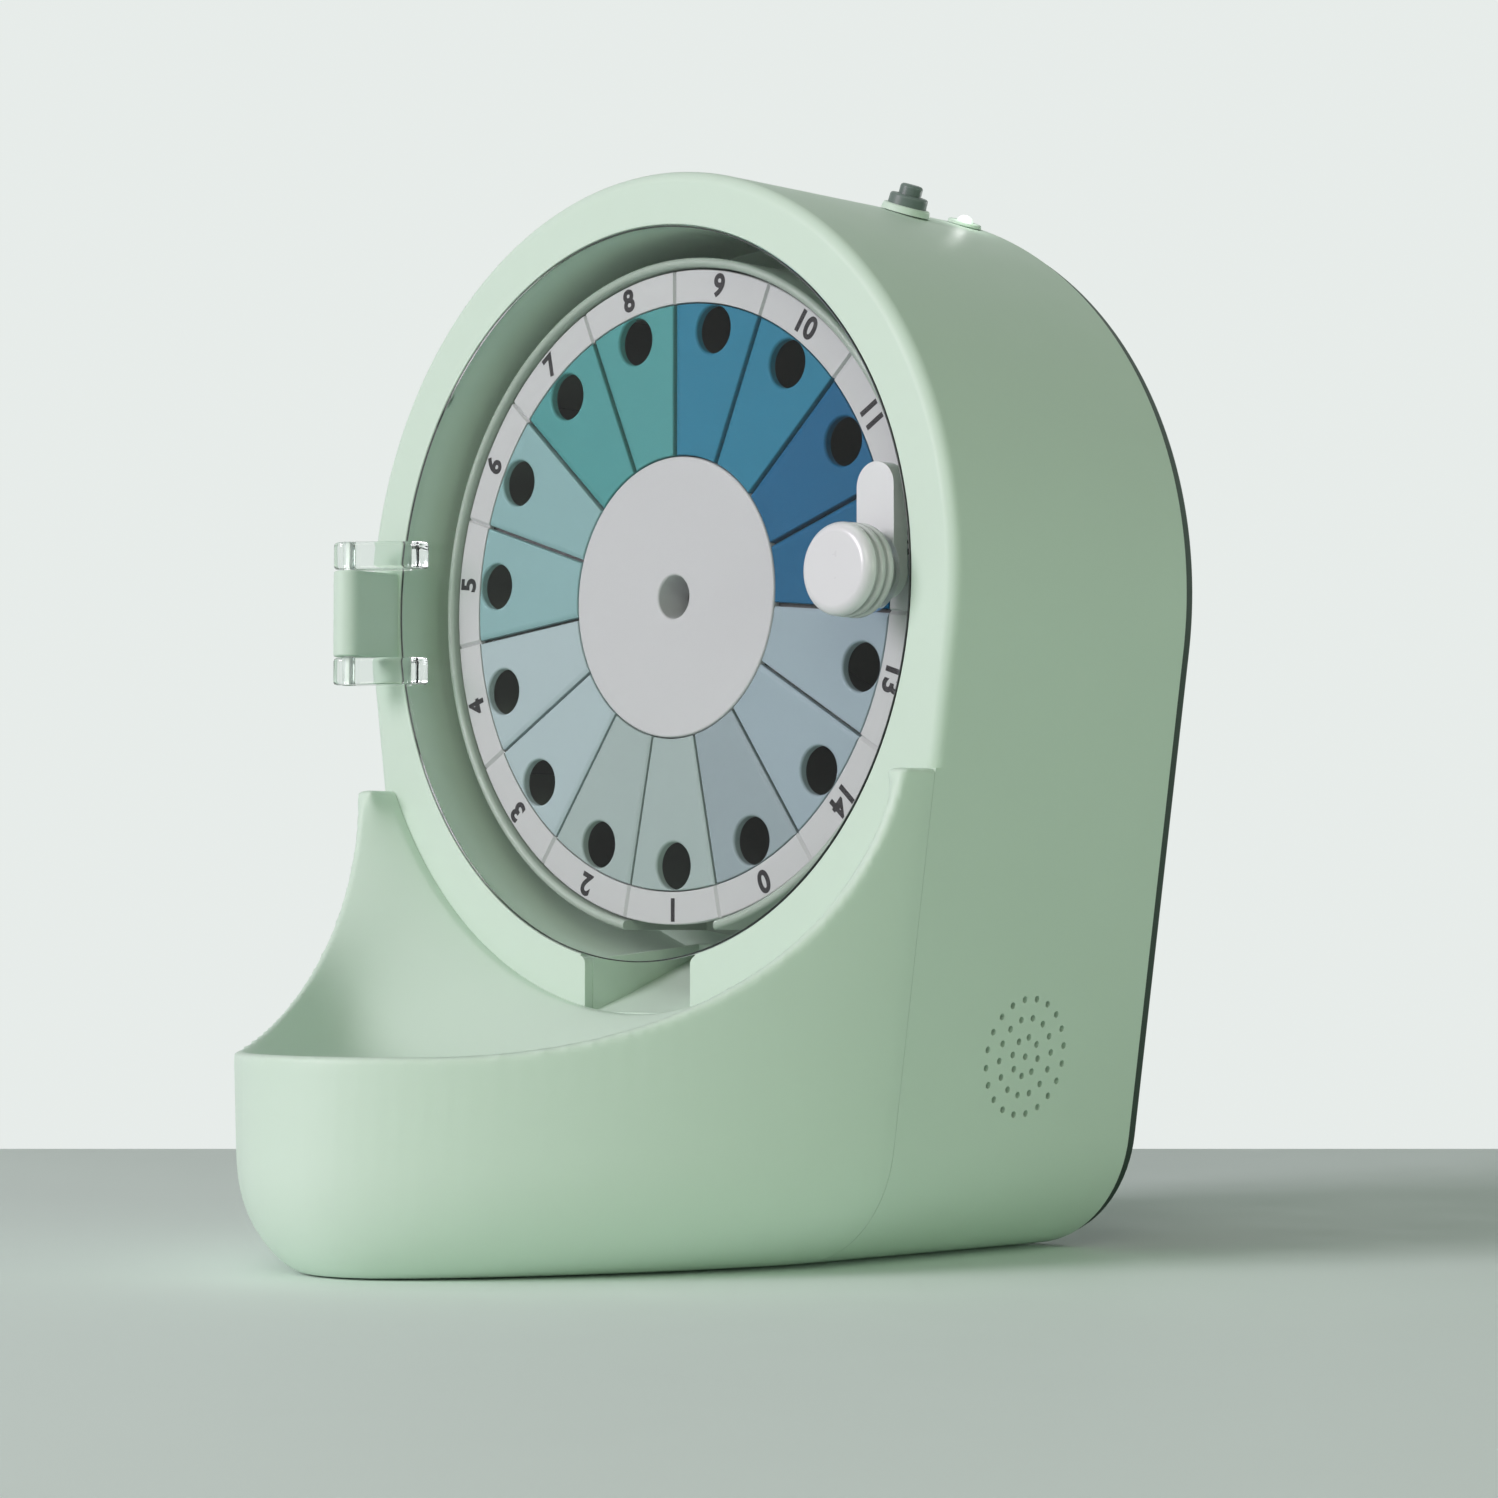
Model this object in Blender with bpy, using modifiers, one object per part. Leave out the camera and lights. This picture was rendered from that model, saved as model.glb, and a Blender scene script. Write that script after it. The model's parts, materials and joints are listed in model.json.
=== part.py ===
"""Automatic pill dispenser for a shelf or bedside table.

A round-topped plastic housing holds a motor-driven wheel of fifteen compartments behind a clear
hinged door. The wheel turns one compartment at a time, the lowest one drops its pills through a
chute, and they land in the tray at the front.

Metres, +Z up. The viewer stands at -Y and the dial faces the viewer. Depths are measured back
from the housing's front face, and heights up from the housing's underside.
"""
import math

import bpy
import bmesh

# Clearances
FIT = 0.0003
RUNNING = 0.0005
OVERRUN = 0.0020
SINK = 0.0005

# Housing
OPENING_RADIUS = 0.0880
OPENING_LIFT = 0.0668
BEZEL_WIDTH = 0.0123
SIDE_TAPER = math.radians(8.54)
CORNER_RADIUS = 0.0312
FRONT_FILLET = 0.0026
WALL = 0.0026
FRONT_WALL = 0.0022
DRUM_WALL = 0.0024
DRUM_DEPTH = 0.0440
DRUM_FLOOR = 0.0026

# Pill tray
TRAY_REACH = 0.1064
TRAY_STANDOFF = 0.0023
TRAY_POWER = 1.39
TRAY_BLUNT_SHARE = 0.20
TRAY_BOTTOM_RADIUS = 0.0285
TRAY_RIM_HEIGHT = 0.0480
TRAY_WALL = 0.0060
TRAY_FLOOR_HEIGHT = 0.0390
TRAY_FLOOR_RADIUS = 0.0060
TRAY_SKIN = 0.0026
WING_HEIGHT = 0.1104
WING_DEPTH = 0.0087
SCOOP_HEIGHT = 0.0674
SCOOP_LENGTH = 0.0849
FLARE_INSET = 0.0008
FLARE_ANGLE = math.radians(38)

# Pill chute
CHUTE_HALF_WIDTH = 0.0180
CHUTE_MOUTH_DROP = 0.0111
CHUTE_TOP_DROP = 0.0037
CHUTE_MOUTH_FILLET = 0.0020
CHUTE_SHEET = 0.0018

# Rear cover, its screws and the battery door
COVER_THICKNESS = 0.0037
COVER_INSET = 0.0008
COVER_EDGE = 0.0010
LIP_DEPTH = 0.0020
LIP_THICKNESS = 0.0016
BOSS_RADIUS = 0.0042
BOSS_LENGTH = 0.0260
BOSS_INSET = 0.0062
BOSS_ANGLE = math.radians(50)
LOWER_BOSS_HEIGHT = 0.0900
SCREW_HEAD_RADIUS = 0.0030
SCREW_HEAD_DEPTH = 0.0018
SCREW_SHANK_RADIUS = 0.0012
SCREW_LENGTH = 0.0120
SCREW_SOCKET_RADIUS = 0.0012
SCREW_SOCKET_DEPTH = 0.0012
BATTERY_X = -0.0380
BATTERY_WIDTH = 0.0260
BATTERY_HEIGHT = 0.0280
BATTERY_LENGTH = 0.0540
BATTERY_CORNER = 0.0040
HATCH_MARGIN = 0.0020
HATCH_LEDGE = 0.0020
HATCH_THICKNESS = 0.0016
HATCH_GRIP_WIDTH = 0.0120
HATCH_GRIP_HEIGHT = 0.0030
HATCH_GRIP_DEPTH = 0.0008

# Power inlet in the rear cover
INLET_X = 0.0340
INLET_HEIGHT = 0.0240
INLET_RADIUS = 0.0050
INLET_FLANGE_RADIUS = 0.0065
INLET_FLANGE_THICKNESS = 0.0016
INLET_LENGTH = 0.0155
INLET_BORE_RADIUS = 0.0032
INLET_BORE_DEPTH = 0.0095
INLET_PIN_RADIUS = 0.0009

# Feet
FOOT_RADIUS = 0.0060
FOOT_RECESS = 0.0011
FOOT_PROUD = 0.0004
FOOT_EDGE = 0.0003
REAR_FOOT_X = 0.0380
REAR_FOOT_INSET = 0.0138
FRONT_FOOT_X = 0.0200
FRONT_FOOT_DEPTH = -0.0500

# Speaker behind the right side wall
SPEAKER_DEPTH = 0.0410
SPEAKER_HEIGHT = 0.0463
SPEAKER_RADIUS = 0.0169
SPEAKER_FLANGE = 0.0012
SPEAKER_LENGTH = 0.0090
SPEAKER_CONE_RADIUS = 0.0125
MAGNET_RADIUS = 0.0085
MAGNET_LENGTH = 0.0042
SPEAKER_RING = 0.0018
SPEAKER_RING_DEPTH = 0.0050
SPEAKER_PAD = 0.0004
GRILLE_PITCH = 0.00445
GRILLE_HOLE_RADIUS = 0.0008
GRILLE_RING_COUNTS = (1, 8, 14, 20)
GRILLE_TURN_SHARE = 0.15

# Carousel cup and wheel
CUP_GAP = 0.0069
CUP_WALL = 0.0022
CUP_FRONT = 0.0105
CUP_FLOOR = 0.0022
CUP_EDGE = 0.0009
CUP_HOLE_RADIUS = 0.0092
NOTCH_HALF_WIDTH = 0.0154
COMPARTMENTS = 15
HOME_ANGLE = math.radians(156)
FACE_DEPTH = 0.0123
LID_THICKNESS = 0.0020
LID_GAP = 0.0003
GROOVE = 0.0008
LID_HOLE_RADIUS = 0.0057
LID_HOLE_INSET = 0.0062
BAND_WIDTH = 0.0078
HUB_RADIUS = 0.0337
HUB_HOLE_RADIUS = 0.0052
HUB_TUBE_WALL = 0.0014
HUB_TUBE_DEPTH = 0.0080
HUB_SKIRT_WALL = 0.0018
HUB_SKIRT_DEPTH = 0.0040
HUB_EDGE = 0.0005
HUB_RING_RADIUS = 0.0320
HUB_RING_WALL = 0.0030
RIB_THICKNESS = 0.0016
WHEEL_BASE = 0.0020
WHEEL_BOSS_RADIUS = 0.0080
WHEEL_BOSS_LENGTH = 0.0150

# Spindle, bush and gears
SPINDLE_RADIUS = 0.0040
SPINDLE_FLAT = 0.0032
SPINDLE_RECESS = 0.0097
SPINDLE_SHORTFALL = 0.0002
SPINDLE_CHAMFER = 0.0005
BUSH_FLANGE_RADIUS = 0.0075
BUSH_FLANGE_THICKNESS = 0.0014
BUSH_RADIUS = 0.0062
BUSH_END = 0.0035
GEAR_MODULE = 0.00125
GEAR_TEETH = 48
PINION_TEETH = 12
GEAR_GAP = 0.0040
GEAR_WIDTH = 0.0050
GEAR_BACKLASH = 0.00012
ROOT_SHARE = 1.25
GEAR_RIM_RADIUS = 0.0255
GEAR_WEB_RADIUS = 0.0095
GEAR_POCKET_DEPTH = 0.0016
GEAR_HUB_RADIUS = 0.0080
GEAR_HUB_LENGTH = 0.0024
PRESSURE_ANGLE = math.radians(20)
WASHER_HEAD_RADIUS = 0.0050
WASHER_HEAD_THICKNESS = 0.0022
SPINDLE_SCREW_LENGTH = 0.0080

# Motor and its bracket
MOTOR_RADIUS = 0.0115
MOTOR_LENGTH = 0.0200
MOTOR_ROOM = 0.0030
MOTOR_EDGE = 0.0008
MOTOR_BOSS_RADIUS = 0.0035
MOTOR_BOSS_LENGTH = 0.0022
MOTOR_SHAFT_RADIUS = 0.0015
MOTOR_SHAFT_LENGTH = 0.0120
BRACKET_SHEET = 0.0015
BRACKET_GAP = 0.0014
BRACKET_HALF_WIDTH = 0.0185
BRACKET_FOOT = 0.0085
BRACKET_HALF_HEIGHT = 0.0120
BRACKET_LIFT = 0.0045
BRACKET_SCREW_SHANK = 0.0012
BRACKET_SCREW_HEAD_RADIUS = 0.0026
BRACKET_SCREW_HEAD = 0.0016
BRACKET_SCREW_REACH = 0.0018

# Control board
BOARD_HALF_WIDTH = 0.0420
BOARD_LOW = 0.0760
BOARD_HIGH = 0.1120
BOARD_STANDOFF = 0.0134
BOARD_THICKNESS = 0.0016
BOARD_POST_RADIUS = 0.0025
BOARD_POST_INSET = 0.0050
CHIP_SIZE = 0.0140
CHIP_HEIGHT = 0.0016
SOCKET_WIDTH = 0.0110
SOCKET_DEPTH = 0.0055
SOCKET_HEIGHT = 0.0060

# Door with its lugs and hinge
DOOR_GAP = 0.0007
DOOR_RIM = 0.0022
DOOR_RIM_FRONT = -0.0013
DOOR_RIM_BACK = 0.0019
DOOR_PANE_FRONT = -0.0009
DOOR_PANE_BACK = 0.0009
HINGE_OFFSET = 0.0041
HINGE_DEPTH = -0.0126
HINGE_RADIUS = 0.0040
HINGE_BLOCK_HEIGHT = 0.0216
HINGE_PIN_RADIUS = 0.0015
LUG_HEIGHT = 0.0068
LUG_GAP = 0.0004
LUG_FOOT_INSET = 0.0043
LUG_FOOT_LENGTH = 0.0073
LUG_FOOT_FRONT = -0.0040

# Latch
LATCH_INSET = 0.0131
LATCH_SHAFT_RADIUS = 0.0030
LATCH_SEAT_RADIUS = 0.0094
LATCH_SEAT_FRONT = -0.0026
KNOB_RADIUS = 0.0106
KNOB_GROOVE_RADIUS = 0.0096
KNOB_RING = 0.0017
KNOB_GROOVE = 0.0010
KNOB_EDGE = 0.0003
KNOB_CAP_RADIUS = 0.0105
KNOB_CAP_THICKNESS = 0.0029
KNOB_CAP_EDGE = 0.0012
KNOB_PEG_RADIUS = 0.0045
KNOB_PEG_LENGTH = 0.0020
CAM_THICKNESS = 0.0045
CAM_WIDTH = 0.0113
CAM_LENGTH = 0.0250
CAM_EDGE = 0.0010
CAM_BORE_RADIUS = 0.0033
LATCH_TURN = math.radians(45)
LATCH_SCREW_HEAD_RADIUS = 0.0042
LATCH_SCREW_HEAD = 0.0017
LATCH_SCREW_SHANK = 0.0012
LATCH_SCREW_REACH = 0.0060
POCKET_MARGIN = 0.0010

# Button and indicator light on the roof
ROOF_ANGLE = math.radians(21)
LIGHT_INSET = 0.0052
BUTTON_SPACING = 0.0216
COLLAR_RADIUS = 0.0055
COLLAR_HEIGHT = 0.0012
BUTTON_STEM_RADIUS = 0.0042
BUTTON_HEAD_RADIUS = 0.0048
BUTTON_HEAD_HEIGHT = 0.0041
BUTTON_STEM_END = -0.0090
BUTTON_SEAT = 0.0015
BUTTON_TOP_WALL = 0.0010
BUTTON_BORE_RADIUS = 0.0035
PLUNGER_RADIUS = 0.0028
PLUNGER_PROUD = 0.0028
PLUNGER_FLANGE_RADIUS = 0.0032
PLUNGER_FLANGE = 0.0012
PLUNGER_PIN_RADIUS = 0.0012
PLUNGER_PIN_END = -0.0105
PLUNGER_EDGE = 0.0004
BUTTON_TRAVEL = 0.0015
SPRING_RADIUS = 0.0023
SPRING_WIRE = 0.00025
SPRING_TURNS = 5
SWITCH_WIDTH = 0.0060
SWITCH_BOARD_TOP = -0.0160
SWITCH_BOARD_THICKNESS = 0.0016
SWITCH_BOARD_HALF_WIDTH = 0.0060
SWITCH_BOARD_FRONT = -0.0078
SWITCH_BOARD_MARGIN = 0.0042
SWITCH_POST_RADIUS = 0.0016
LIGHT_RADIUS = 0.0027
LIGHT_HEIGHT = 0.0024
LIGHT_BEZEL_RADIUS = 0.0046
LIGHT_BEZEL_HEIGHT = 0.0007
LIGHT_BEZEL_SLEEVE = 0.0008

# Mesh building: weld distance, level normals, flat and sharp angles
WELD = 0.00001
LEVEL_SHARE = 0.9
FLAT_ANGLE = math.radians(0.05)
SHARP_ANGLE = math.radians(35)

# Facets
BODY_STEPS = 50
CORNER_STEPS = 6
RING_STEPS = 60
SMALL_STEPS = 18
PIN_STEPS = 10
GRILLE_STEPS = 6
TRAY_STEPS = 12
FILLET_STEPS = 3
SPRING_STEPS = 9

# Places that follow from the sizes above: the housing's front view
DIAL_HEIGHT = OPENING_LIFT + OPENING_RADIUS
BODY_RADIUS = OPENING_RADIUS + BEZEL_WIDTH
FLARE_RADIUS = BODY_RADIUS - FLARE_INSET
SIDE_OFFSET = BODY_RADIUS - DIAL_HEIGHT * math.sin(SIDE_TAPER)
CORNER_X = (SIDE_OFFSET - CORNER_RADIUS + CORNER_RADIUS * math.sin(SIDE_TAPER)) / math.cos(SIDE_TAPER)

# Carousel
CUP_RADIUS = OPENING_RADIUS - CUP_GAP
WHEEL_RADIUS = CUP_RADIUS - CUP_WALL - RUNNING
BAND_INNER_RADIUS = WHEEL_RADIUS - BAND_WIDTH
LID_HOLE_CENTRE = BAND_INNER_RADIUS - LID_HOLE_INSET
DRUM_BACK = DRUM_DEPTH + DRUM_FLOOR
CUP_BACK = DRUM_DEPTH - FIT
CUP_FLOOR_FRONT = CUP_BACK - CUP_FLOOR
WHEEL_BACK = CUP_FLOOR_FRONT - RUNNING
LID_BACK = FACE_DEPTH + LID_THICKNESS
RIB_FRONT = LID_BACK + FIT
SPINDLE_FRONT = FACE_DEPTH + SPINDLE_RECESS
SECTOR = 2 * math.pi / COMPARTMENTS

# Chute
CHUTE_MOUTH_HEIGHT = OPENING_LIFT - CHUTE_MOUTH_DROP
CHUTE_TOP_HEIGHT = DIAL_HEIGHT - CUP_RADIUS - CHUTE_TOP_DROP
CHUTE_BACK = CUP_BACK - CUP_FLOOR - RUNNING - WHEEL_BASE

# Gears, motor and board, one behind the other at the drum's back
GEAR_RADIUS = GEAR_MODULE * GEAR_TEETH / 2
PINION_RADIUS = GEAR_MODULE * PINION_TEETH / 2
MOTOR_HEIGHT = GEAR_RADIUS + PINION_RADIUS
GEAR_FRONT = DRUM_BACK + GEAR_GAP
GEAR_BACK = GEAR_FRONT + GEAR_WIDTH
GEAR_HUB_BACK = GEAR_BACK + GEAR_HUB_LENGTH
SPINDLE_BACK = GEAR_HUB_BACK - SPINDLE_SHORTFALL
BRACKET_PLATE_DEPTH = GEAR_BACK + BRACKET_GAP
BRACKET_BACK = BRACKET_PLATE_DEPTH + BRACKET_SHEET
MOTOR_FRONT = BRACKET_BACK + FIT
MOTOR_BACK = MOTOR_FRONT + MOTOR_LENGTH
BOARD_DEPTH = DRUM_BACK + BOARD_STANDOFF

# The housing's depth and what is placed from its back
BODY_DEPTH = MOTOR_BACK + MOTOR_ROOM
COVER_FRONT = BODY_DEPTH + FIT
COVER_BACK = COVER_FRONT + COVER_THICKNESS
FRONT_FACE = (TRAY_REACH - COVER_BACK) / 2
REAR_FOOT_DEPTH = BODY_DEPTH - REAR_FOOT_INSET
LIGHT_DEPTH = BODY_DEPTH - LIGHT_INSET
BUTTON_DEPTH = LIGHT_DEPTH - BUTTON_SPACING
SWITCH_BOARD_BACK = BUTTON_SPACING + SWITCH_BOARD_MARGIN

# Door and latch
DOOR_RADIUS = OPENING_RADIUS - DOOR_GAP
HINGE_X = -OPENING_RADIUS - HINGE_OFFSET
LUG_FOOT_OUTER = -DOOR_RADIUS + LUG_FOOT_INSET
LUG_FOOT_INNER = LUG_FOOT_OUTER + LUG_FOOT_LENGTH
LATCH_X = OPENING_RADIUS - LATCH_INSET
CAM_FRONT = FRONT_WALL + FIT
CAM_BACK = CAM_FRONT + CAM_THICKNESS
KNOB_BACK = LATCH_SEAT_FRONT - FIT
KNOB_FRONT = KNOB_BACK - 2 * KNOB_RING - 2 * KNOB_GROOVE
UPRIGHT = (math.pi / 2, 0, 0)


# Scene and object helpers

def clear_scene():
    for item in list(bpy.data.objects):
        bpy.data.objects.remove(item, do_unlink=True)


def new_collection(name):
    collection = bpy.data.collections.new(name)
    bpy.context.scene.collection.children.link(collection)
    return collection


def material(name, colour, roughness, metallic=0, transmission=0):
    """A Principled material; the colour is linear RGB."""
    made = bpy.data.materials.new(name)
    made.use_nodes = True
    shader = made.node_tree.nodes["Principled BSDF"]
    shader.inputs["Base Color"].default_value = (*colour, 1)
    shader.inputs["Roughness"].default_value = roughness
    shader.inputs["Metallic"].default_value = metallic
    shader.inputs["Transmission Weight"].default_value = transmission
    return made


def empty(name, parent, location=(0, 0, 0), rotation=(0, 0, 0)):
    """A frame that pieces hang from; a moving body's frame lies on its joint's axis."""
    made = bpy.data.objects.new(name, None)
    PARTS.objects.link(made)
    made.parent = parent
    made.location = location
    made.rotation_euler = rotation
    return made


def place(obj, parent, location=(0, 0, 0), rotation=(0, 0, 0)):
    obj.parent = parent
    obj.location = location
    obj.rotation_euler = rotation
    return obj


def part(obj, name, look):
    """Make an object one of the product's pieces."""
    obj.name = name
    obj.data.name = name
    obj.data.materials.clear()
    obj.data.materials.append(look)
    PARTS.objects.link(obj)
    obj.data.shade_smooth()
    obj.data.set_sharp_from_angle(angle=SHARP_ANGLE)
    return obj


def cutter(obj, name):
    """Make an object a tool for Boolean modifiers, left out of the product."""
    obj.name = name
    CUTTERS.objects.link(obj)
    obj.hide_render = True
    obj.display_type = "WIRE"
    return obj


def boolean(obj, tool, operation="DIFFERENCE"):
    step = obj.modifiers.new(tool.name, "BOOLEAN")
    step.operation = operation
    step.solver = "EXACT"
    step.object = tool
    return step


def bevel(obj, width, segments=FILLET_STEPS, limit="WEIGHT"):
    step = obj.modifiers.new("edge", "BEVEL")
    step.width = width
    step.segments = segments
    step.limit_method = limit
    step.angle_limit = SHARP_ANGLE
    return step


def weigh(obj, test):
    """Mark the edges whose two ends pass the test, for a Bevel modifier."""
    mesh = obj.data
    weights = mesh.attributes.new("bevel_weight_edge", "FLOAT", "EDGE")
    for edge in mesh.edges:
        ends = [mesh.vertices[index].co for index in edge.vertices]
        weights.data[edge.index].value = float(all(test(end) for end in ends))


# Shape helpers

def arc(centre, radius, start, end, steps):
    """Points along an arc, ends included, angles counted anticlockwise from +x."""
    points = []
    for index in range(steps + 1):
        angle = start + (end - start) * index / steps
        points.append((centre[0] + radius * math.cos(angle), centre[1] + radius * math.sin(angle)))
    return points


def circle(centre, radius, steps):
    return arc(centre, radius, 0, 2 * math.pi, steps)[:-1]


def box_outline(low, high):
    return [(low[0], low[1]), (high[0], low[1]), (high[0], high[1]), (low[0], high[1])]


def rounded_box(centre, width, height, radius):
    """A rectangle with round corners."""
    points = []
    for index, (side, rise) in enumerate(((1, 1), (-1, 1), (-1, -1), (1, -1))):
        corner = (centre[0] + side * (width / 2 - radius), centre[1] + rise * (height / 2 - radius))
        start = index * math.pi / 2
        points += arc(corner, radius, start, start + math.pi / 2, FILLET_STEPS)
    return points


def lies_level(edge):
    """Whether an edge lies inside a prism's flat end."""
    return all(abs(face.normal.z) > LEVEL_SHARE for face in edge.link_faces)


def prism(outlines, low, high):
    """Extrude flat outlines along local z; an outline inside another one is a hole."""
    curve = bpy.data.curves.new("outline", "CURVE")
    curve.dimensions = "2D"
    curve.fill_mode = "BOTH"
    curve.extrude = (high - low) / 2
    for outline in outlines:
        spline = curve.splines.new("POLY")
        spline.points.add(len(outline) - 1)
        for point, (x, y) in zip(spline.points, outline):
            point.co = (x, y, 0, 1)
        spline.use_cyclic_u = True
    source = bpy.data.objects.new("outline", curve)
    CUTTERS.objects.link(source)
    bpy.context.view_layer.update()
    mesh = bpy.data.meshes.new_from_object(source.evaluated_get(bpy.context.evaluated_depsgraph_get()))
    bpy.data.objects.remove(source, do_unlink=True)
    shape = bmesh.new()
    shape.from_mesh(mesh)
    bmesh.ops.remove_doubles(shape, verts=shape.verts, dist=WELD)
    level = [edge for edge in shape.edges if lies_level(edge)]
    bmesh.ops.dissolve_limit(shape, angle_limit=FLAT_ANGLE, verts=[], edges=level)
    bmesh.ops.translate(shape, verts=shape.verts, vec=(0, 0, (low + high) / 2))
    bmesh.ops.recalc_face_normals(shape, faces=shape.faces)
    shape.to_mesh(mesh)
    shape.free()
    return bpy.data.objects.new("prism", mesh)


def front_prism(outlines, front, back):
    """Extrude front-view outlines from one depth to another; stands up under UPRIGHT."""
    return prism(outlines, -back, -front)


def rod(radius, low, high, steps):
    """A plain round bar along local z."""
    return prism([circle((0, 0), radius, steps)], low, high)


def front_rod(radius, front, back, steps):
    """A plain round bar from one depth to another; stands up under UPRIGHT."""
    return rod(radius, -back, -front, steps)


def turned(profile, steps=SMALL_STEPS):
    """Turn a profile of (radius, depth) points about the local z axis, depth running along -z.

    A profile that starts or ends off the axis is closed, so it makes a ring.
    """
    twice_area = sum(a[0] * b[1] - b[0] * a[1] for a, b in zip(profile, profile[1:] + profile[:1]))
    points = list(profile) if twice_area > 0 else list(reversed(profile))
    closed = min(points[0][0], points[-1][0]) > 0
    if not closed:
        while points[0][0] > 0 or points[-1][0] > 0:
            points = points[1:] + points[:1]
    mesh = bpy.data.meshes.new("profile")
    edges = [(index, index + 1) for index in range(len(points) - 1)]
    if closed:
        edges.append((len(points) - 1, 0))
    mesh.from_pydata([(radius, 0, -depth) for radius, depth in points], edges, [])
    obj = bpy.data.objects.new("turned", mesh)
    screw = obj.modifiers.new("turn", "SCREW")
    screw.axis = "Z"
    screw.steps = steps
    screw.render_steps = steps
    screw.use_merge_vertices = True
    screw.merge_threshold = WELD
    screw.use_smooth_shade = True
    return obj


def rounded_corner(radius, depth, edge, radial, along):
    """Three points that round a turned corner; radial and along say which way the body lies."""
    centre = (radius + radial * edge, depth + along * edge)
    half = math.sqrt(2) / 2
    return [
        (radius + radial * edge, depth),
        (centre[0] - radial * edge * half, centre[1] - along * edge * half),
        (radius, depth + along * edge),
    ]


def loft(rings):
    """Skin closed rings of equal length, with both ends capped."""
    shape = bmesh.new()
    rows = [[shape.verts.new(point) for point in ring] for ring in rings]
    for lower, upper in zip(rows, rows[1:]):
        for index in range(len(lower)):
            after = (index + 1) % len(lower)
            shape.faces.new((lower[index], lower[after], upper[after], upper[index]))
    shape.faces.new(list(reversed(rows[0])))
    shape.faces.new(rows[-1])
    bmesh.ops.triangulate(shape, faces=[face for face in shape.faces if len(face.verts) == 4])
    bmesh.ops.recalc_face_normals(shape, faces=shape.faces)
    mesh = bpy.data.meshes.new("loft")
    shape.to_mesh(mesh)
    shape.free()
    return bpy.data.objects.new("loft", mesh)


def join_tools(objects, name):
    """Join separate closed tools into one cutter."""
    shape = bmesh.new()
    for obj in objects:
        bpy.context.view_layer.update()
        evaluated = obj.evaluated_get(bpy.context.evaluated_depsgraph_get())
        mesh = bpy.data.meshes.new_from_object(evaluated)
        mesh.transform(obj.matrix_basis)
        shape.from_mesh(mesh)
        bpy.data.objects.remove(obj, do_unlink=True)
    mesh = bpy.data.meshes.new(name)
    shape.to_mesh(mesh)
    shape.free()
    return cutter(bpy.data.objects.new(name, mesh), name)


def tool(obj):
    """Link a shape that join_tools will read."""
    CUTTERS.objects.link(obj)
    return obj


# Outlines of the body

def body_outline(inset):
    """The body seen from the front: round top, sides drawn in, round lower corners."""
    low = -math.pi / 2
    wing = half_width(WING_HEIGHT) - inset / math.cos(SIDE_TAPER)
    points = arc((CORNER_X, CORNER_RADIUS), CORNER_RADIUS - inset, low, -SIDE_TAPER, CORNER_STEPS)
    points.append((wing, WING_HEIGHT))
    points += arc((0, DIAL_HEIGHT), BODY_RADIUS - inset, -SIDE_TAPER, math.pi + SIDE_TAPER, BODY_STEPS)
    points.append((-wing, WING_HEIGHT))
    points += arc((-CORNER_X, CORNER_RADIUS), CORNER_RADIUS - inset, math.pi + SIDE_TAPER,
                  3 * math.pi / 2, CORNER_STEPS)
    return points


def half_width(height):
    """Half the body's width at a height below the round top."""
    tangent = CORNER_RADIUS - CORNER_RADIUS * math.sin(SIDE_TAPER)
    if height < tangent:
        rise = CORNER_RADIUS - height
        return CORNER_X + math.sqrt(CORNER_RADIUS ** 2 - rise ** 2)
    return (SIDE_OFFSET + height * math.sin(SIDE_TAPER)) / math.cos(SIDE_TAPER)


def boss_places():
    """Where the rear cover's screw bosses stand: close inside the round top and the straight sides."""
    reach = BODY_RADIUS - BOSS_INSET
    upper = (reach * math.cos(BOSS_ANGLE), DIAL_HEIGHT + reach * math.sin(BOSS_ANGLE))
    lower = (half_width(LOWER_BOSS_HEIGHT) - BOSS_INSET / math.cos(SIDE_TAPER), LOWER_BOSS_HEIGHT)
    return [(side * x, z) for x, z in (upper, lower) for side in (1, -1)]


def board_post_places():
    spread = BOARD_HALF_WIDTH - BOARD_POST_INSET
    heights = (BOARD_LOW + BOARD_POST_INSET, BOARD_HIGH - BOARD_POST_INSET)
    return [(side * spread, height) for side in (-1, 1) for height in heights]


def battery_low():
    return WALL + FIT


def battery_outline(margin):
    centre = (BATTERY_X, battery_low() + BATTERY_HEIGHT / 2)
    return rounded_box(centre, BATTERY_WIDTH + 2 * margin, BATTERY_HEIGHT + 2 * margin, BATTERY_CORNER)


# Housing

def chute_slot_outline():
    """The slot under the dial, its sides swept round into the dial opening."""
    centre_x = CHUTE_HALF_WIDTH + CHUTE_MOUTH_FILLET
    reach = OPENING_RADIUS * math.cos(math.pi / RING_STEPS) + CHUTE_MOUTH_FILLET
    centre_z = DIAL_HEIGHT - math.sqrt(reach ** 2 - centre_x ** 2)
    end = math.atan2(DIAL_HEIGHT - centre_z, -centre_x)
    right = arc((centre_x, centre_z), CHUTE_MOUTH_FILLET, math.pi, end, FILLET_STEPS)
    right = [(CHUTE_HALF_WIDTH, CHUTE_MOUTH_HEIGHT)] + right
    right.append((right[-1][0], right[-1][1] + OVERRUN))
    return right + [(-x, z) for x, z in reversed(right)]


def flare_cutter(back):
    """The cone about the dial's axis that clears the tray's back and the step it seats on."""
    front = -TRAY_REACH - OVERRUN
    return turned([(0, back), (FLARE_RADIUS - back * math.tan(FLARE_ANGLE), back),
                   (FLARE_RADIUS - front * math.tan(FLARE_ANGLE), front), (0, front)], RING_STEPS)


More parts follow.
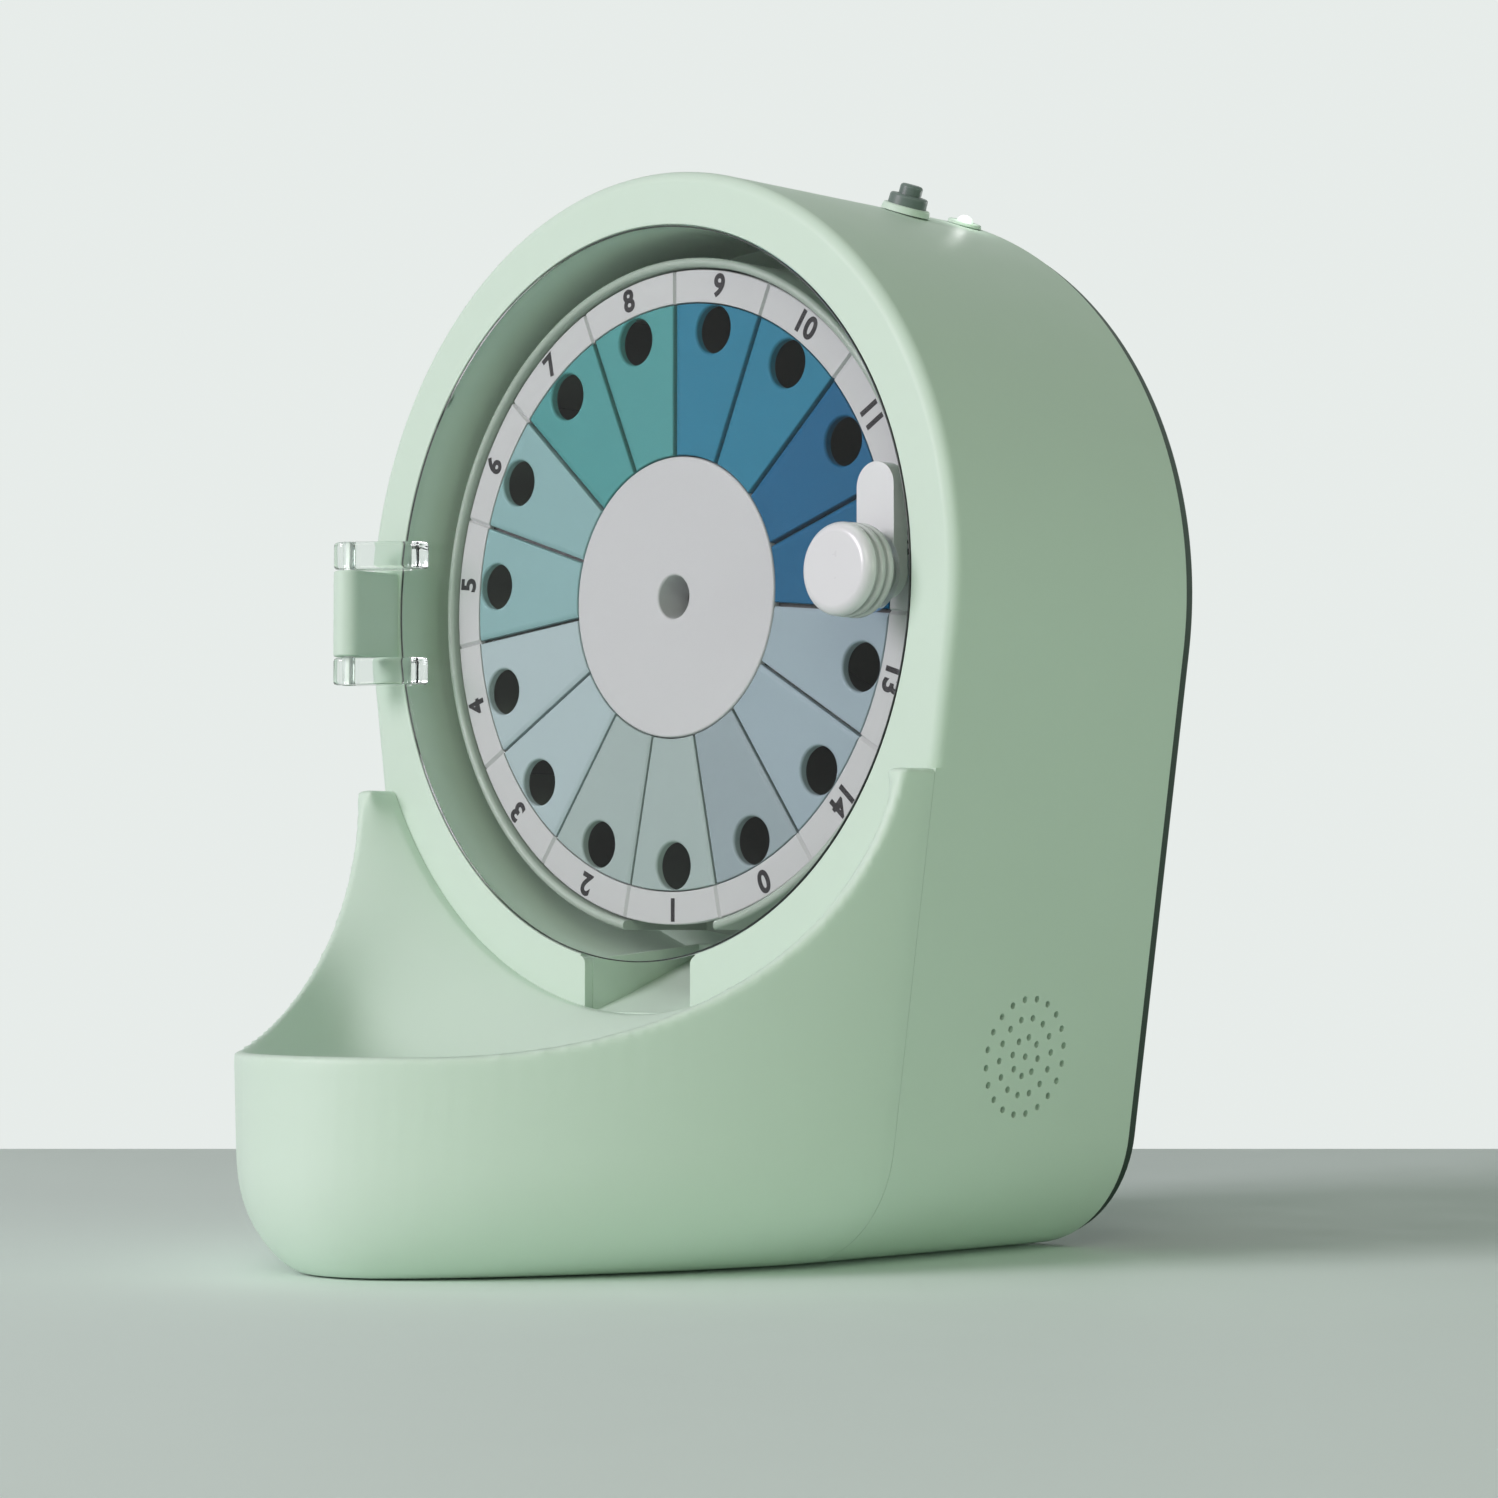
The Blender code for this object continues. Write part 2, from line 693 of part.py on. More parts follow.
def hinge_block():
    """The fixed knuckle: round towards the viewer, its flat sides running into the front face."""
    left = HINGE_X - HINGE_RADIUS
    right = HINGE_X + HINGE_RADIUS
    outline = arc((HINGE_X, HINGE_DEPTH), HINGE_RADIUS, math.pi, 2 * math.pi, 2 * CORNER_STEPS)
    outline += [(right, FRONT_WALL / 2), (left, FRONT_WALL / 2)]
    return prism([outline], -HINGE_BLOCK_HEIGHT / 2, HINGE_BLOCK_HEIGHT / 2)


def housing_islands(frame, speaker_frame, button_frame):
    """What stays standing inside the housing's cavity: screw bosses, switch post and speaker ring."""
    islands = []
    for index, (x, z) in enumerate(boss_places()):
        boss = front_rod(BOSS_RADIUS, BODY_DEPTH - BOSS_LENGTH, BODY_DEPTH + 2 * OVERRUN, PIN_STEPS)
        islands.append(place(cutter(boss, f"boss_island_{index + 1}"), frame, (x, 0, z), UPRIGHT))
    ring_radius = SPEAKER_RADIUS + FIT + SPEAKER_RING
    ring = rod(ring_radius, WALL / 2, WALL + SPEAKER_RING_DEPTH, 2 * PIN_STEPS)
    islands.append(place(cutter(ring, "speaker_island"), speaker_frame))
    post_y = (LIGHT_DEPTH - BUTTON_DEPTH) / 2
    post = rod(SWITCH_POST_RADIUS, SWITCH_BOARD_TOP + FIT, -WALL / 2, PIN_STEPS)
    islands.append(place(cutter(post, "switch_post_island"), button_frame, (0, post_y, 0)))
    return islands


def housing_cavity(frame, speaker_frame, button_frame):
    cavity = front_prism([body_outline(WALL)], FRONT_WALL, BODY_DEPTH + OVERRUN)
    cavity = place(cutter(cavity, "cavity"), frame, rotation=UPRIGHT)
    for island in housing_islands(frame, speaker_frame, button_frame):
        boolean(cavity, island)
    return cavity


def grille_cutter(speaker_frame):
    """Rings of sound holes, one in the middle and more in each ring outwards."""
    holes = []
    depth = WALL + SPEAKER_PAD + OVERRUN
    for ring, count in enumerate(GRILLE_RING_COUNTS):
        for index in range(count):
            angle = 2 * math.pi * (index + GRILLE_TURN_SHARE * ring) / count
            hole = rod(GRILLE_HOLE_RADIUS, -OVERRUN, depth, GRILLE_STEPS)
            reach = ring * GRILLE_PITCH
            hole.location = (reach * math.cos(angle), reach * math.sin(angle), 0)
            holes.append(tool(hole))
    return place(join_tools(holes, "grille_holes"), speaker_frame)


def screw_hole_cutter(frame):
    holes = []
    for x, z in boss_places():
        hole = front_rod(SCREW_SHANK_RADIUS + FIT, COVER_BACK - SCREW_LENGTH - RUNNING,
                         BODY_DEPTH + OVERRUN, PIN_STEPS)
        hole.location = (x, z, 0)
        holes.append(tool(hole))
    return place(join_tools(holes, "boss_holes"), frame, rotation=UPRIGHT)


def foot_recess_cutter(frame, x, depth, name):
    recess = rod(FOOT_RADIUS + FIT, -OVERRUN, FOOT_RECESS, SMALL_STEPS)
    return place(cutter(recess, name), frame, (x, depth, 0))


def latch_window():
    """Height and reach of the window that lets the latch's cam swing behind the front lip."""
    tip = CAM_LENGTH + POCKET_MARGIN
    inner = LATCH_X
    outer = OPENING_RADIUS + DRUM_WALL + POCKET_MARGIN
    return box_outline((inner, DIAL_HEIGHT), (outer, DIAL_HEIGHT + tip))


def housing_shell(frame, speaker_frame, button_frame, light_frame, look):
    shell = front_prism([body_outline(0)], 0, BODY_DEPTH)
    shell = place(part(shell, "housing_shell", look), frame, rotation=UPRIGHT)
    weigh(shell, lambda point: abs(point.z) < WELD)
    bevel(shell, FRONT_FILLET)
    step = front_prism([body_outline(0)], -TRAY_STANDOFF, 2 * FRONT_FILLET)
    step = place(cutter(step, "tray_step"), frame, rotation=UPRIGHT)
    wide = BODY_RADIUS + OVERRUN
    above = front_prism([box_outline((-wide, WING_HEIGHT), (wide, DIAL_HEIGHT + wide))],
                        -TRAY_STANDOFF - OVERRUN, 2 * FRONT_FILLET + OVERRUN)
    boolean(step, place(cutter(above, "above_tray"), frame, rotation=UPRIGHT))
    flare = place(cutter(flare_cutter(OVERRUN), "step_flare"), frame, (0, 0, DIAL_HEIGHT), UPRIGHT)
    boolean(step, flare)
    boolean(shell, step, "UNION")
    knuckle = place(cutter(hinge_block(), "knuckle"), frame, (0, 0, DIAL_HEIGHT))
    boolean(shell, knuckle, "UNION")
    boolean(shell, housing_cavity(frame, speaker_frame, button_frame))
    mouth = front_rod(OPENING_RADIUS, -OVERRUN, FRONT_WALL + OVERRUN, RING_STEPS)
    boolean(shell, place(cutter(mouth, "dial_opening"), frame, (0, 0, DIAL_HEIGHT), UPRIGHT))
    slot = front_prism([chute_slot_outline()], -OVERRUN, FRONT_WALL + OVERRUN)
    boolean(shell, place(cutter(slot, "front_slot"), frame, rotation=UPRIGHT))
    seat = rod(SPEAKER_RADIUS + FIT, WALL + SPEAKER_PAD, WALL + SPEAKER_RING_DEPTH + OVERRUN,
               2 * PIN_STEPS)
    boolean(shell, place(cutter(seat, "speaker_seat"), speaker_frame))
    boolean(shell, grille_cutter(speaker_frame))
    boolean(shell, screw_hole_cutter(frame))
    for index, side in enumerate((-1, 1)):
        boolean(shell, foot_recess_cutter(frame, side * REAR_FOOT_X, REAR_FOOT_DEPTH,
                                          f"rear_foot_recess_{index + 1}"))
    button_hole = rod(BUTTON_STEM_RADIUS + FIT, -2 * WALL, OVERRUN, SMALL_STEPS)
    boolean(shell, place(cutter(button_hole, "button_hole"), button_frame))
    light_hole = rod(LIGHT_RADIUS + LIGHT_BEZEL_SLEEVE + 2 * FIT, -2 * WALL, OVERRUN, SMALL_STEPS)
    boolean(shell, place(cutter(light_hole, "light_hole"), light_frame))
    pin_hole = rod(HINGE_PIN_RADIUS + FIT, -HINGE_BLOCK_HEIGHT, HINGE_BLOCK_HEIGHT, PIN_STEPS)
    boolean(shell, place(cutter(pin_hole, "pin_hole"), frame, (HINGE_X, HINGE_DEPTH, DIAL_HEIGHT)))
    return shell


def dial_drum(frame, look):
    """The round well behind the dial opening; its floor carries the wheel, bracket and board."""
    drum = front_rod(OPENING_RADIUS + DRUM_WALL, FRONT_WALL + FIT, DRUM_BACK, RING_STEPS)
    drum = place(part(drum, "dial_drum", look), frame, (0, 0, DIAL_HEIGHT), UPRIGHT)
    for index, (x, z) in enumerate(board_post_places()):
        post = front_rod(BOARD_POST_RADIUS, DRUM_DEPTH + SINK, BOARD_DEPTH - FIT, PIN_STEPS)
        boolean(drum, place(cutter(post, f"board_post_{index + 1}"), frame, (x, 0, z), UPRIGHT), "UNION")
    bore = front_rod(OPENING_RADIUS, -OVERRUN, DRUM_DEPTH, RING_STEPS)
    boolean(drum, place(cutter(bore, "drum_bore"), frame, (0, 0, DIAL_HEIGHT), UPRIGHT))
    bush_hole = front_rod(BUSH_RADIUS + FIT, DRUM_DEPTH - OVERRUN, DRUM_BACK + OVERRUN, SMALL_STEPS)
    boolean(drum, place(cutter(bush_hole, "bush_hole"), frame, (0, 0, DIAL_HEIGHT), UPRIGHT))
    slot = front_prism([chute_slot_outline()], -OVERRUN, CHUTE_BACK)
    boolean(drum, place(cutter(slot, "drum_slot"), frame, rotation=UPRIGHT))
    window = front_prism([latch_window()], FRONT_WALL, CAM_BACK + RUNNING)
    boolean(drum, place(cutter(window, "latch_window"), frame, rotation=UPRIGHT))
    for index, side in enumerate((-1, 1)):
        pilot = front_rod(BRACKET_SCREW_SHANK + FIT, DRUM_BACK - BRACKET_SCREW_REACH - FIT,
                          DRUM_BACK + OVERRUN, PIN_STEPS)
        x, z = bracket_screw_place(side)
        boolean(drum, place(cutter(pilot, f"bracket_pilot_{index + 1}"), frame, (x, 0, z), UPRIGHT))
    return drum


# Rear cover

def rear_cover(frame, look):
    cover = front_prism([body_outline(COVER_INSET)], COVER_FRONT, COVER_BACK)
    cover = place(part(cover, "rear_cover", look), frame, rotation=UPRIGHT)
    weigh(cover, lambda point: abs(point.z + COVER_BACK) < WELD)
    bevel(cover, COVER_EDGE, 1)
    lip_outer = WALL + FIT
    lip = front_prism([body_outline(lip_outer), body_outline(lip_outer + LIP_THICKNESS)],
                      BODY_DEPTH - LIP_DEPTH, COVER_FRONT + SINK)
    boolean(cover, place(cutter(lip, "cover_lip"), frame, rotation=UPRIGHT), "UNION")
    clear = []
    through = []
    for x, z in boss_places():
        notch = front_rod(BOSS_RADIUS + FIT, BODY_DEPTH - LIP_DEPTH - OVERRUN, COVER_FRONT + FIT,
                          PIN_STEPS)
        notch.location = (x, z, 0)
        clear.append(tool(notch))
        head = SCREW_HEAD_RADIUS + FIT
        shank = SCREW_SHANK_RADIUS + FIT
        seat = COVER_BACK - SCREW_HEAD_DEPTH
        hole = turned([(0, COVER_FRONT - OVERRUN), (shank, COVER_FRONT - OVERRUN), (shank, seat),
                       (head, COVER_BACK), (head, COVER_BACK + OVERRUN), (0, COVER_BACK + OVERRUN)],
                      PIN_STEPS)
        hole.location = (x, z, 0)
        through.append(tool(hole))
    boolean(cover, place(join_tools(clear, "boss_notches"), frame, rotation=UPRIGHT))
    boolean(cover, place(join_tools(through, "cover_screw_holes"), frame, rotation=UPRIGHT))
    opening = front_prism([battery_outline(HATCH_MARGIN - HATCH_LEDGE)],
                          BODY_DEPTH - LIP_DEPTH - OVERRUN, COVER_BACK + OVERRUN)
    boolean(cover, place(cutter(opening, "battery_opening"), frame, rotation=UPRIGHT))
    recess = front_prism([battery_outline(HATCH_MARGIN + FIT)],
                         COVER_BACK - HATCH_THICKNESS - FIT, COVER_BACK + OVERRUN)
    boolean(cover, place(cutter(recess, "hatch_recess"), frame, rotation=UPRIGHT))
    inlet = front_rod(INLET_RADIUS + FIT, BODY_DEPTH - LIP_DEPTH, COVER_BACK + OVERRUN, SMALL_STEPS)
    boolean(cover, place(cutter(inlet, "inlet_hole"), frame, (INLET_X, 0, INLET_HEIGHT), UPRIGHT))
    return cover


def cover_screws(frame, look):
    for index, (x, z) in enumerate(boss_places()):
        back = COVER_BACK
        socket = back - SCREW_SOCKET_DEPTH
        screw = turned([(0, back - SCREW_LENGTH), (SCREW_SHANK_RADIUS, back - SCREW_LENGTH),
                        (SCREW_SHANK_RADIUS, back - SCREW_HEAD_DEPTH), (SCREW_HEAD_RADIUS, back),
                        (SCREW_SOCKET_RADIUS, back), (SCREW_SOCKET_RADIUS, socket), (0, socket)],
                       PIN_STEPS)
        place(part(screw, f"rear_cover_screw_{index + 1}", look), frame, (x, 0, z), UPRIGHT)


def battery_hatch(frame, look):
    hatch = front_prism([battery_outline(HATCH_MARGIN)], COVER_BACK - HATCH_THICKNESS, COVER_BACK)
    hatch = place(part(hatch, "battery_door", look), frame, rotation=UPRIGHT)
    top = battery_low() + BATTERY_HEIGHT + HATCH_MARGIN
    grip = rounded_box((BATTERY_X, top - HATCH_GRIP_HEIGHT), HATCH_GRIP_WIDTH, HATCH_GRIP_HEIGHT,
                       HATCH_GRIP_HEIGHT / 3)
    recess = front_prism([grip], COVER_BACK - HATCH_GRIP_DEPTH, COVER_BACK + OVERRUN)
    boolean(hatch, place(cutter(recess, "hatch_grip"), frame, rotation=UPRIGHT))


def battery_pack(frame, look):
    back = COVER_BACK - HATCH_THICKNESS - RUNNING
    pack = front_prism([battery_outline(-RUNNING)], back - BATTERY_LENGTH, back)
    place(part(pack, "battery_pack", look), frame, (0, 0, -RUNNING), UPRIGHT)


def power_inlet(frame, look):
    back = COVER_BACK
    flange_back = COVER_FRONT - FIT
    flange_front = flange_back - INLET_FLANGE_THICKNESS
    bore = back - INLET_BORE_DEPTH
    profile = [(0, back - INLET_LENGTH), (INLET_RADIUS, back - INLET_LENGTH),
               (INLET_RADIUS, flange_front), (INLET_FLANGE_RADIUS, flange_front),
               (INLET_FLANGE_RADIUS, flange_back), (INLET_RADIUS, flange_back), (INLET_RADIUS, back),
               (INLET_BORE_RADIUS, back), (INLET_BORE_RADIUS, bore), (INLET_PIN_RADIUS, bore),
               (INLET_PIN_RADIUS, back - RUNNING), (0, back - RUNNING)]
    inlet = part(turned(profile), "power_inlet", look)
    place(inlet, frame, (INLET_X, 0, INLET_HEIGHT), UPRIGHT)


# Pill tray and chute

def tray_length(height, inset):
    """How far the tray reaches forward at a height, drawn in round its lower edge."""
    drop = max(TRAY_BOTTOM_RADIUS - height, 0)
    return TRAY_REACH - inset - TRAY_BOTTOM_RADIUS + math.sqrt(TRAY_BOTTOM_RADIUS ** 2 - drop ** 2)


def tray_ahead(across):
    """The tray's reach, as a share of its length, at a share of its half-width off the middle.

    The curve is a squared-off oval whose nose is blunted.
    """
    blunt = math.sqrt(1 + TRAY_BLUNT_SHARE ** 2) - TRAY_BLUNT_SHARE
    share = (math.sqrt(across ** 2 + TRAY_BLUNT_SHARE ** 2) - TRAY_BLUNT_SHARE) / blunt
    return max(1 - share ** TRAY_POWER, 0) ** (1 / TRAY_POWER)


def tray_front(height, inset, level):
    """A level section of the tray, from one side of the body round its nose to the other side.

    The shape is read at height and laid at level, which lets an inner floor be rounded.
    """
    width = half_width(height) - inset
    start = -TRAY_STANDOFF - FIT
    length = tray_length(height, inset) + start
    points = []
    for index in range(2 * TRAY_STEPS + 1):
        across = math.cos(math.pi * index / (2 * TRAY_STEPS))
        points.append((width * across, start - length * tray_ahead(abs(across)), level))
    return points


def tray_ring(height, inset, back, level):
    """The same section carried straight back to a depth, for cutting tools."""
    front = tray_front(height, inset, level)
    return [(front[0][0], back, level)] + front + [(front[-1][0], back, level)]


def tray_heights():
    """Levels of the tray's outside: close together round its lower edge, then straight up."""
    tangent = CORNER_RADIUS - CORNER_RADIUS * math.sin(SIDE_TAPER)
    steps = CORNER_STEPS
    low = [CORNER_RADIUS * (1 - math.cos(math.pi / 2 * index / steps)) for index in range(steps)]
    return [height for height in low if height < tangent] + [tangent, CORNER_RADIUS]


def pill_tray(frame, look):
    """The removable tray: an open basin under a scooped rim, hollow below its floor."""
    top = WING_HEIGHT
    rings = [tray_front(height, 0, height) for height in tray_heights() + [top]]
    tray = place(part(loft(rings), "pill_tray", look), frame)
    scoop_front = -TRAY_REACH - OVERRUN
    scoop_top = top + OVERRUN
    centre = (-WING_DEPTH - SCOOP_LENGTH, TRAY_RIM_HEIGHT + SCOOP_HEIGHT)
    curve = []
    for index in range(2 * CORNER_STEPS + 1):
        angle = math.pi / 2 * index / (2 * CORNER_STEPS)
        curve.append((centre[0] + SCOOP_LENGTH * math.cos(angle),
                      centre[1] - SCOOP_HEIGHT * math.sin(angle)))
    outline = curve + [(scoop_front, TRAY_RIM_HEIGHT), (scoop_front, centre[1])]
    wide = half_width(top) + OVERRUN
    scoop = prism([outline], -wide, wide)
    scoop_turn = (math.pi / 2, 0, math.pi / 2)
    boolean(tray, place(cutter(scoop, "tray_scoop"), frame, rotation=scoop_turn))
    inner = []
    base = TRAY_FLOOR_HEIGHT
    for index in range(FILLET_STEPS + 1):
        angle = math.pi / 2 * index / FILLET_STEPS
        draw_in = TRAY_FLOOR_RADIUS * (1 - math.sin(angle))
        level = base + TRAY_FLOOR_RADIUS * (1 - math.cos(angle))
        inner.append(tray_ring(base, TRAY_WALL + draw_in, OVERRUN, level))
    inner.append(tray_ring(scoop_top, TRAY_WALL, OVERRUN, scoop_top))
    basin = place(cutter(loft(inner), "tray_basin"), frame)
    flare = place(cutter(flare_cutter(OVERRUN), "tray_flare"), frame, (0, 0, DIAL_HEIGHT), UPRIGHT)
    boolean(basin, flare, "INTERSECT")
    boolean(tray, basin)
    hollow_heights = [height + TRAY_SKIN for height in tray_heights()]
    roof = base - TRAY_SKIN
    levels = [TRAY_SKIN] + [height for height in hollow_heights if TRAY_SKIN < height < roof] + [roof]
    hollow = loft([tray_ring(level, TRAY_SKIN, OVERRUN, level) for level in levels])
    boolean(tray, place(cutter(hollow, "tray_hollow"), frame))
    for index, side in enumerate((-1, 1)):
        boolean(tray, foot_recess_cutter(frame, side * FRONT_FOOT_X, FRONT_FOOT_DEPTH,
                                         f"front_foot_recess_{index + 1}"))
    return tray


def foot_pads(frame, look):
    places = [(-FRONT_FOOT_X, FRONT_FOOT_DEPTH), (FRONT_FOOT_X, FRONT_FOOT_DEPTH),
              (-REAR_FOOT_X, REAR_FOOT_DEPTH), (REAR_FOOT_X, REAR_FOOT_DEPTH)]
    top = FOOT_RECESS - FIT
    for index, (x, depth) in enumerate(places):
        pad = turned([(0, -top), (FOOT_RADIUS, -top), (FOOT_RADIUS, FOOT_PROUD - FOOT_EDGE),
                      (FOOT_RADIUS - FOOT_EDGE, FOOT_PROUD), (0, FOOT_PROUD)])
        place(part(pad, f"foot_pad_{index + 1}", look), frame, (x, depth, 0))


def chute(frame, look):
    """A sloping trough under the wheel's lowest compartment, open towards the tray."""
    front = FRONT_WALL + FIT
    back = CHUTE_BACK - FIT
    low = CHUTE_MOUTH_HEIGHT
    high = CHUTE_TOP_HEIGHT
    wide = CHUTE_HALF_WIDTH - FIT
    drum_low = DIAL_HEIGHT - math.sqrt(OPENING_RADIUS ** 2 - CHUTE_HALF_WIDTH ** 2)
    outline = [(front, low - CHUTE_SHEET), (back, high - CHUTE_SHEET), (back, high + CHUTE_SHEET),
               (front, drum_low - FIT)]
    trough = prism([outline], -wide, wide)
    turn = (math.pi / 2, 0, math.pi / 2)
    trough = place(part(trough, "pill_chute", look), frame, rotation=turn)
    slope = (high - low) / (back - front)
    inner = [(front - OVERRUN, low - OVERRUN * slope), (back - CHUTE_SHEET, high - CHUTE_SHEET * slope),
             (back - CHUTE_SHEET, high + CHUTE_SHEET + OVERRUN),
             (front - OVERRUN, high + CHUTE_SHEET + OVERRUN)]
    channel = prism([inner], -wide + CHUTE_SHEET, wide - CHUTE_SHEET)
    boolean(trough, place(cutter(channel, "chute_channel"), frame, rotation=turn))


# Carousel

def carousel_cup(frame, look):
    """The round cup that closes the compartments' outer ends, notched at the bottom."""
    inner = CUP_RADIUS - CUP_WALL
    front_outer = rounded_corner(CUP_RADIUS, CUP_FRONT, CUP_EDGE, -1, 1)
    front_inner = list(reversed(rounded_corner(inner, CUP_FRONT, CUP_EDGE, 1, 1)))
    profile = front_outer + [(CUP_RADIUS, CUP_BACK), (CUP_HOLE_RADIUS, CUP_BACK),
                             (CUP_HOLE_RADIUS, CUP_FLOOR_FRONT), (inner, CUP_FLOOR_FRONT)] + front_inner
    cup = part(turned(profile, RING_STEPS), "carousel_cup", look)
    place(cup, frame, (0, 0, DIAL_HEIGHT), UPRIGHT)
    low = DIAL_HEIGHT - CUP_RADIUS - OVERRUN
    high = DIAL_HEIGHT - CUP_RADIUS / 2
    notch = front_prism([box_outline((-NOTCH_HALF_WIDTH, low), (NOTCH_HALF_WIDTH, high))],
                        CUP_FRONT - OVERRUN, CHUTE_BACK)
    boolean(cup, place(cutter(notch, "cup_notch"), frame, rotation=UPRIGHT))


def sector_outline(inner, outer, gap, steps):
    """A piece of ring one compartment wide, its straight sides half a gap off the boundary."""
    points = []
    for radius, sign, count in ((outer, 1, steps), (inner, -1, max(steps // 2, 1))):
        half = SECTOR / 2 - math.asin(gap / 2 / radius)
        points += arc((0, 0), radius, math.pi / 2 - sign * half, math.pi / 2 + sign * half, count)
    return points


def compartment_angle(number):
    """Clockwise from the top; number 0 is the home place, 1 is at the bottom."""
    return HOME_ANGLE + number * SECTOR


def compartment_lids(frame, looks):
    outline = sector_outline(HUB_RADIUS + FIT, BAND_INNER_RADIUS - FIT, LID_GAP, 4)
    hole = circle((0, LID_HOLE_CENTRE), LID_HOLE_RADIUS, SMALL_STEPS)
    lid = front_prism([outline, hole], FACE_DEPTH, LID_BACK)

    def on_outer_edge(point):
        from_hole = math.hypot(point.x, point.y - LID_HOLE_CENTRE)
        return abs(point.z + FACE_DEPTH) < WELD and from_hole > LID_HOLE_RADIUS + WELD

    weigh(lid, on_outer_edge)
    for number in range(COMPARTMENTS):
        copy = bpy.data.objects.new("lid", lid.data.copy())
        name = "lid_home" if number == 0 else f"lid_{number:02d}"
        copy = part(copy, name, looks[(number + 1) // 2])
        place(copy, frame, rotation=(math.pi / 2, compartment_angle(number), 0))
        bevel(copy, GROOVE, 1)
    bpy.data.objects.remove(lid, do_unlink=True)


def label_ring(frame, look):
    """The white band that carries the numbers, with the grooves between the lids carried on."""
    edge = BAND_INNER_RADIUS
    ring = turned([(edge, FACE_DEPTH), (WHEEL_RADIUS, FACE_DEPTH), (WHEEL_RADIUS, LID_BACK),
                   (edge, LID_BACK)], RING_STEPS)
    ring = place(part(ring, "label_ring", look), frame, rotation=UPRIGHT)
    grooves = []
    for number in range(COMPARTMENTS):
        wedge = [(-GROOVE - LID_GAP / 2, FACE_DEPTH - GROOVE / 2), (0, FACE_DEPTH + GROOVE),
                 (GROOVE + LID_GAP / 2, FACE_DEPTH - GROOVE / 2)]
        groove = prism([wedge], edge - OVERRUN, WHEEL_RADIUS + OVERRUN)
        groove.rotation_euler = (0, compartment_angle(number) + SECTOR / 2, 0)
        grooves.append(tool(groove))
    boolean(ring, place(join_tools(grooves, "label_grooves"), frame))


def hub_cap(frame, look):
    outer = rounded_corner(HUB_RADIUS, FACE_DEPTH, HUB_EDGE, -1, 1)
    skirt = HUB_RING_RADIUS - HUB_RING_WALL - FIT
    tube = HUB_HOLE_RADIUS + HUB_TUBE_WALL
    skirt_end = LID_BACK + HUB_SKIRT_DEPTH
    tube_end = LID_BACK + HUB_TUBE_DEPTH
    mouth = list(reversed(rounded_corner(HUB_HOLE_RADIUS, FACE_DEPTH, HUB_EDGE, 1, 1)))
    profile = outer + [(HUB_RADIUS, LID_BACK), (skirt, LID_BACK), (skirt, skirt_end),
                       (skirt - HUB_SKIRT_WALL, skirt_end), (skirt - HUB_SKIRT_WALL, LID_BACK),
                       (tube, LID_BACK), (tube, tube_end), (HUB_HOLE_RADIUS, tube_end)] + mouth
    place(part(turned(profile, 2 * SMALL_STEPS), "hub_cap", look), frame, rotation=UPRIGHT)


def flat_shaft(radius, flat, steps):
    """A round outline with one flat, which keys the wheel and gear to the spindle."""
    start = math.acos(flat / radius)
    return arc((0, 0), radius, start, 2 * math.pi - start, steps)


def wheel(frame, look):
    """Fifteen ribs round a hollow hub on a round base: each space between ribs is a compartment."""
    outline = []
    root_half = math.asin(RIB_THICKNESS / 2 / HUB_RING_RADIUS)
    tip_half = math.asin(RIB_THICKNESS / 2 / WHEEL_RADIUS)
    for number in range(COMPARTMENTS):
        middle = math.pi / 2 + (number + 1 / 2) * SECTOR + HOME_ANGLE
        outline += arc((0, 0), HUB_RING_RADIUS, middle - SECTOR + root_half, middle - root_half, 3)
        outline += arc((0, 0), WHEEL_RADIUS, middle - tip_half, middle + tip_half, 1)
    inner = circle((0, 0), HUB_RING_RADIUS - HUB_RING_WALL, 3 * COMPARTMENTS)
    star = front_prism([outline, inner], RIB_FRONT, WHEEL_BACK - WHEEL_BASE / 2)
    star = place(cutter(star, "ribs"), frame, rotation=(math.pi / 2, 0, 0))
    base_front = WHEEL_BACK - WHEEL_BASE
    boss_front = WHEEL_BACK - WHEEL_BOSS_LENGTH
    base = turned([(0, boss_front), (WHEEL_BOSS_RADIUS, boss_front),
                   (WHEEL_BOSS_RADIUS, base_front), (WHEEL_RADIUS, base_front),
                   (WHEEL_RADIUS, WHEEL_BACK), (0, WHEEL_BACK)], RING_STEPS)
    base = place(part(base, "compartment_wheel", look), frame, rotation=UPRIGHT)
    boolean(base, star, "UNION")
    bore = front_prism([flat_shaft(SPINDLE_RADIUS + FIT, SPINDLE_FLAT + FIT, SMALL_STEPS)],
                       FACE_DEPTH, WHEEL_BACK + OVERRUN)
    boolean(base, place(cutter(bore, "wheel_bore"), frame, rotation=UPRIGHT))


